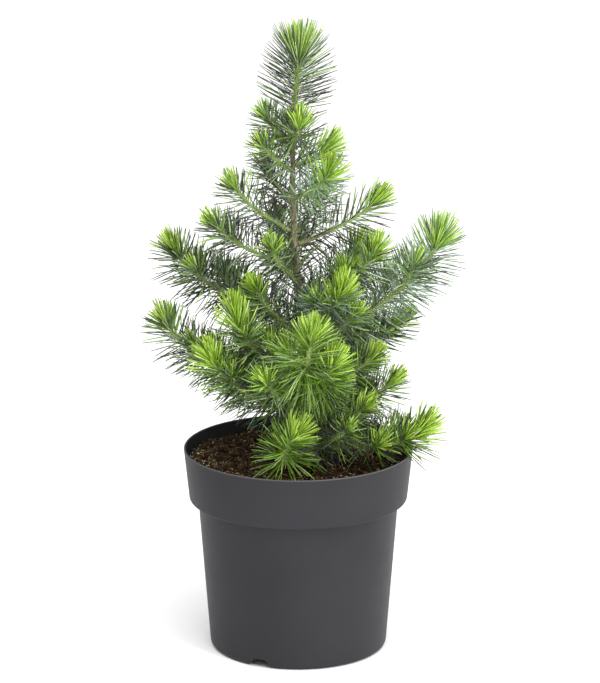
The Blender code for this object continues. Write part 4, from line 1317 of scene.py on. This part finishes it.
def rounded(first, corner, last, count):
    """Points on a curve from first to last that is drawn towards a corner."""
    points = []
    for k in range(count + 1):
        s = k / count
        weights = ((1 - s) ** 2, 2 * s * (1 - s), s * s)
        point = (sum(w * p for w, p in zip(weights, places)) for places in zip(first, corner, last))
        points.append(tuple(point))
    return points


def turned_mesh(name, profile, sides):
    """A closed solid of revolution from a closed run of (radius, height) points."""
    work = bmesh.new()
    points = [work.verts.new((radius, 0.0, height)) for radius, height in profile]
    edges = [work.edges.new((a, b)) for a, b in zip(points, [*points[1:], points[0]])]
    turn = {"cent": (0, 0, 0), "axis": (0, 0, 1), "angle": 2 * math.pi, "steps": sides, "use_merge": True}
    bmesh.ops.spin(work, geom=points + edges, **turn)
    bmesh.ops.remove_doubles(work, verts=work.verts, dist=MERGE_WITHIN)
    bmesh.ops.dissolve_degenerate(work, edges=work.edges, dist=MERGE_WITHIN)
    bmesh.ops.recalc_face_normals(work, faces=work.faces)
    return mesh_of(work, name)


def notch_mesh(bearing):
    """A wedge that opens the foot ring into the drain groove."""
    work = bmesh.new()
    bmesh.ops.create_cube(work, size=1.0)
    for corner in work.verts:
        top = corner.co.z > 0
        width = NOTCH_TOP_WIDTH if top else NOTCH_FOOT_WIDTH
        along = NOTCH_INNER_RADIUS if corner.co.x < 0 else FOOT_RADIUS + NOTCH_OVERCUT
        height = NOTCH_HEIGHT if top else -NOTCH_OVERCUT
        corner.co = (along, math.copysign(width / 2, corner.co.y), height)
    turn = Matrix.Rotation(math.radians(bearing), 3, "Z")
    bmesh.ops.rotate(work, verts=work.verts, cent=(0, 0, 0), matrix=turn)
    return mesh_of(work, "notch")


# Settings that a user would change


def tint(name, description, code):
    """A colour that a user would change, from its hex code."""
    return FloatVectorProperty(
        name=name, description=description, subtype="COLOR", default=linear(code), min=0, max=1
    )


class PotSettings(bpy.types.PropertyGroup):
    """Sizes and finish of the nursery pot"""

    sides: IntProperty(name="Sides", description="Facets round the pot", default=160, min=24, max=360)
    colour: tint("Colour", "Colour of the plastic", "#303033")
    roughness: FloatProperty(
        name="Roughness", description="How matt it is", subtype="FACTOR", default=0.5, min=0.1, max=0.9
    )


class CompostSettings(bpy.types.PropertyGroup):
    """Colour and litter of the compost"""

    colour: tint("Colour", "Colour of damp compost", "#2F2212")
    litter: FloatProperty(
        name="Litter", description="Crumbs and chips against the usual number", default=1.0, min=0.0, max=3.0
    )
    grit: FloatProperty(
        name="Grit", description="Pale grains against the usual number", default=1.0, min=0.0, max=3.0
    )


class LimbSettings(bpy.types.PropertyGroup):
    """Relief and colours of the trunk and boughs"""

    relief: FloatProperty(
        name="Relief", description="Height of a flake", unit="LENGTH", default=0.0003, min=0.0, max=0.001
    )
    flake: FloatProperty(
        name="Flake", description="Width of a flake in millimetres", default=2.4, min=0.5, max=8.0
    )
    browning: FloatProperty(
        name="Browning", description="Stem before it browns", unit="LENGTH", default=0.19, min=0.01, max=0.3
    )
    bark: tint("Bark", "Colour of the flakes", "#B2AE98")
    crack: tint("Cracks", "Colour between the flakes", "#7C7458")
    young: tint("Young rind", "Colour near a tip", "#94B062")
    tan: tint("Tan rind", "Colour in the middle", "#8E9862")
    straw: tint("Needle base", "Colour of dry bases", "#9EAC6C")


class NeedleSettings(bpy.types.PropertyGroup):
    """Sizes, number and colours of the needles"""

    length: FloatProperty(
        name="Length", description="Length of a needle", unit="LENGTH", default=0.0315, min=0.01, max=0.06
    )
    width: FloatProperty(
        name="Width", description="Width of a needle", unit="LENGTH", default=0.00092, min=0.0004, max=0.003
    )
    thickness: FloatProperty(
        name="Thickness", description="Against the width", subtype="FACTOR", default=0.68, min=0.1, max=1.0
    )
    inward: FloatProperty(
        name="Curve", description="How far tips curve in, against the length", default=0.08, min=0.0, max=0.5
    )
    density: FloatProperty(
        name="Density", description="Needles on each millimetre of a shoot", default=2.1, min=0.2, max=4.0
    )
    tuft: IntProperty(name="Tuft", description="Needles in the tuft at a tip", default=50, min=3, max=80)
    trunk_density: FloatProperty(
        name="Trunk density", description="Needles on each millimetre of it", default=0.85, min=0.0, max=4.0
    )
    trunk_from: FloatProperty(
        name="Trunk needles", description="Lowest one", unit="LENGTH", default=0.285, min=0.2, max=0.4
    )
    fresh: tint("Fresh", "New tips", "#A8D038")
    spring: tint("Spring", "This year's growth", "#8CBC3A")
    lush: tint("Lush", "Grown needles low down", "#7CA628")
    green: tint("Green", "Grown needles", "#82A45E")
    waxy: tint("Waxy", "Needles with bloom", "#A0C2A2")
    deep: tint("Deep", "Needles inside the crown", "#4C681E")
    old: tint("Old", "Last year's needles", "#44463E")


class StageSettings(bpy.types.PropertyGroup):
    """The floor, the lights and the camera"""

    floor: tint("Floor", "Colour of the card", "#FAFAFA")
    sky: FloatProperty(name="Sky", description="Light from all round", default=1.0, min=0.0, max=5.0)
    key: FloatProperty(name="Key", description="Power of the soft light", default=80.0, min=0.0, max=1000.0)
    side: FloatProperty(name="Side", description="Power of the strip", default=25.0, min=0.0, max=1000.0)
    distance: FloatProperty(
        name="Distance", description="Camera's distance", unit="LENGTH", default=3.0, min=0.5, max=10.0
    )


# Operators


class PINE_OT_pot(bpy.types.Operator):
    """Make the moulded pot with its collar, lip, drain groove and notches"""

    bl_idname = "pine.pot"
    bl_label = "Pot"

    def execute(self, context):
        settings = context.scene.pine_pot
        raw = new_object("pot_raw", turned_mesh("pot", pot_profile(), settings.sides))
        cutters = []
        for k in range(NOTCH_COUNT):
            cutter = new_object("notch", notch_mesh(NOTCH_BEARING + k * 360.0 / NOTCH_COUNT))
            cut = raw.modifiers.new("notch", "BOOLEAN")
            cut.operation = "DIFFERENCE"
            cut.object = cutter
            cutters.append(cutter)
        mesh = evaluated_copy(raw)
        for thing in [raw, *cutters]:
            bpy.data.objects.remove(thing, do_unlink=True)
        mesh.shade_smooth()
        mesh.set_sharp_from_angle(angle=math.radians(SHARP_ANGLE))
        mesh.materials.append(moulded_polypropylene(settings))
        kept("nursery_pot", mesh, ("pot",))
        return {"FINISHED"}


class PINE_OT_compost(bpy.types.Operator):
    """Make the compost's lumpy surface and the crumbs, chips and grit that lie on it"""

    bl_idname = "pine.compost"
    bl_label = "Compost"

    def execute(self, context):
        settings = context.scene.pine_compost
        mesh = soil_mesh()
        mesh.materials.append(damp_peat(settings))
        kept("compost_surface", mesh, ("soil",))
        tree = scatter_tree()
        for litter in LITTER:
            inputs = {
                "Density": litter.amount * (settings.grit if litter.gritty else settings.litter),
                "Smallest": tuple(value * MM for value in litter.small),
                "Largest": tuple(value * MM for value in litter.large),
                "Broken": litter.broken * MM,
                "Detail": litter.detail,
                "Seed": litter.seed,
                "Finish": crumb_finish(litter.finish, linear(litter.colour), 0.9),
            }
            kept(litter.name, grown(soil_top(litter), tree, **inputs))
        return {"FINISHED"}


class PINE_OT_limbs(bpy.types.Operator):
    """Make the trunk and the boughs with the relief of their bark"""

    bl_idname = "pine.limbs"
    bl_label = "Trunk and boughs"

    def execute(self, context):
        settings = context.scene.pine_limbs
        finish = young_pine_bark(settings)
        tree = limb_tree()
        heights = np.arange(TRUNK_FOOT_Z, TRUNK_TIP_Z + BARK_STEP / 2, BARK_STEP)
        line = [tuple(trunk_axis(height)) for height in heights]
        radii = [np.array([trunk_radius(height) for height in heights])]
        shape = {"Relief": settings.relief, "Flake": settings.flake * MM, "Finish": finish}
        mesh = grown(lines_mesh("trunk_line", [line], radii), tree, Sides=TRUNK_SIDES, **shape)
        kept("trunk_bark", mesh, ("trunk",))
        lines = []
        radii = []
        for shoot in SHOOTS:
            if shoot.bough:
                look = LOOKS[shoot.name]
                line = shoot_line(shoot, look.upturn, look.swing, look.sweep)
                carried = even_steps(part_of(line, 0.0, BOUGH_SHARE + BOUGH_OVERLAP), BARK_STEP)
                thick = root_radius(line)
                thin = thick + (STEM_TIP_RADIUS - thick) * BOUGH_SHARE
                lines.append(carried)
                radii.append(np.linspace(thick, thin, len(carried)))
        mesh = grown(lines_mesh("bough_lines", lines, radii), tree, Sides=BOUGH_SIDES, **shape)
        kept("bough_bark", mesh, nodes_named("bough_"))
        return {"FINISHED"}


class PINE_OT_stems(bpy.types.Operator):
    """Make the stems and twigs that the needles grow on, and the cushions at their roots"""

    bl_idname = "pine.stems"
    bl_label = "Stems and twigs"

    def execute(self, context):
        settings = context.scene.pine_limbs
        lines = []
        radii = []
        ages = []
        for stem in plant():
            line = even_steps(stem.line, STEM_STEP)
            lines.append(line)
            radii.append(np.linspace(stem.thick, stem.thin, len(line)) * STEM_WITHIN_SOLID)
            from_tip = np.linspace(line_length(line), 0.0, len(line))
            ages.append(np.clip(from_tip / settings.browning, 0.0, 1.0))
        shape = {"Sides": STEM_SIDES, "Relief": RIND_RELIEF, "Flake": RIND_FLAKE}
        stems = lines_mesh("stem_lines", lines, radii, ages)
        mesh = grown(stems, limb_tree(), Finish=growing_rind(settings), **shape)
        kept("green_stems", mesh, nodes_named("foliage_"))
        shape = {"Width": CUSHION_WIDTH, "Height": CUSHION_HEIGHT}
        points = points_mesh("cushion_points", all_needles())
        mesh = grown(points, cushion_tree(), Finish=needle_base(settings), **shape)
        kept("needle_cushions", mesh)
        return {"FINISHED"}


class PINE_OT_needles(bpy.types.Operator):
    """Make the needles, one piece for each colour that they are dealt"""

    bl_idname = "pine.needles"
    bl_label = "Needles"

    def execute(self, context):
        settings = context.scene.pine_needles
        tree = needle_tree()
        needles = all_needles()
        masses = nodes_named("foliage_")
        shape = {"Width": settings.width, "Thickness": settings.thickness, "Stations": NEEDLE_STATIONS}
        for name, kind in KINDS.items():
            points = points_mesh(f"{name}_points", [needle for needle in needles if needle.kind == name])
            finish = needle_cuticle(f"needle_cuticle_{name}", getattr(settings, name), kind)
            kept(f"needles_{name}", grown(points, tree, Finish=finish, **shape), masses)
        return {"FINISHED"}


class PINE_OT_stage(bpy.types.Operator):
    """Set the floor, the lights and the camera"""

    bl_idname = "pine.stage"
    bl_label = "Stage"

    def execute(self, context):
        scene = context.scene
        settings = scene.pine_stage
        scene.view_settings.view_transform = "Standard"
        work = bmesh.new()
        bmesh.ops.create_grid(work, x_segments=1, y_segments=1, size=FLOOR_REACH)
        mesh = mesh_of(work, "floor")
        mesh.materials.append(pale_card(settings.floor))
        new_object("floor", mesh)
        scene.world = soft_sky(settings.sky)
        add_area_light("key_light", (0.4, -1.6, 3.2), (0.0, 0.2, 0.2), 2.6, 2.6, settings.key)
        add_area_light("side_strip", (1.7, -1.9, 0.7), (0.0, 0.0, 0.1), 0.25, 1.4, settings.side)
        camera = bpy.data.cameras.new("camera")
        camera.sensor_fit = "VERTICAL"
        camera.sensor_height = SENSOR_HEIGHT
        camera.lens = SENSOR_HEIGHT * FOCAL_PIXELS / PHOTO_PIXELS
        camera.clip_end = VIEW_END
        thing = new_object("camera", camera)
        thing.location = (EYE_X, -settings.distance, EYE_Z)
        thing.rotation_euler = (math.radians(90.0 - VIEW_DIP), 0.0, 0.0)
        scene.camera = thing
        return {"FINISHED"}


def soft_sky(strength):
    """White light from above and all round, weaker from the left and from behind."""
    world = bpy.data.worlds.new("soft_sky")
    world.use_nodes = True
    tree = world.node_tree
    way = add(tree, "ShaderNodeTexCoord").outputs["Generated"]
    parts = add(tree, "ShaderNodeSeparateXYZ", {"Vector": way}).outputs
    slopes = []
    for part, (start, end, low, high) in SKY_SLOPES.items():
        slope = {"Value": parts[part], "From Min": start, "From Max": end, "To Min": low, "To Max": high}
        slopes.append(add(tree, "ShaderNodeMapRange", slope))
    side, back, above = slopes
    level = add(tree, "ShaderNodeMath", {0: side, 1: back}, operation="MULTIPLY")
    power = add(tree, "ShaderNodeMix", {"Factor": above, "A": level, "B": SKY_TOP}, data_type="FLOAT")
    scaled = add(tree, "ShaderNodeMath", {0: power, 1: strength}, operation="MULTIPLY")
    feed(tree, tree.nodes["Background"], {"Color": (1.0, 1.0, 1.0, 1.0), "Strength": scaled})
    return world


def add_area_light(name, place, target, width, height, power):
    """A soft rectangular light that faces a target."""
    light = bpy.data.lights.new(name, "AREA")
    light.shape = "RECTANGLE"
    light.size = width
    light.size_y = height
    light.energy = power
    thing = new_object(name, light)
    thing.location = place
    thing.rotation_euler = (Vector(target) - Vector(place)).to_track_quat("-Z", "Y").to_euler()


OPERATORS = (PINE_OT_pot, PINE_OT_compost, PINE_OT_limbs, PINE_OT_stems, PINE_OT_needles, PINE_OT_stage)
SETTINGS = (
    ("pine_pot", PotSettings),
    ("pine_compost", CompostSettings),
    ("pine_limbs", LimbSettings),
    ("pine_needles", NeedleSettings),
    ("pine_stage", StageSettings),
)


class PINE_PT_panel(bpy.types.Panel):
    """Lists the pieces of the plant and their settings"""

    bl_idname = "PINE_PT_panel"
    bl_label = "Potted pine"
    bl_space_type = "VIEW_3D"
    bl_region_type = "UI"
    bl_category = "Potted pine"

    def draw(self, context):
        for operator in OPERATORS:
            self.layout.operator(operator.bl_idname)
        for name, kind in SETTINGS:
            box = self.layout.box()
            box.label(text=kind.__doc__)
            for key in kind.__annotations__:
                box.prop(getattr(context.scene, name), key)


def register():
    for name, kind in SETTINGS:
        bpy.utils.register_class(kind)
        setattr(bpy.types.Scene, name, PointerProperty(type=kind))
    for kind in (*OPERATORS, PINE_PT_panel):
        bpy.utils.register_class(kind)


def unregister():
    for kind in (PINE_PT_panel, *reversed(OPERATORS)):
        bpy.utils.unregister_class(kind)
    for name, kind in reversed(SETTINGS):
        delattr(bpy.types.Scene, name)
        bpy.utils.unregister_class(kind)


def main():
    register()
    bpy.ops.pine.stage()
    bpy.ops.pine.pot()
    bpy.ops.pine.compost()
    bpy.ops.pine.limbs()
    bpy.ops.pine.stems()
    bpy.ops.pine.needles()


if __name__ == "__main__":
    main()
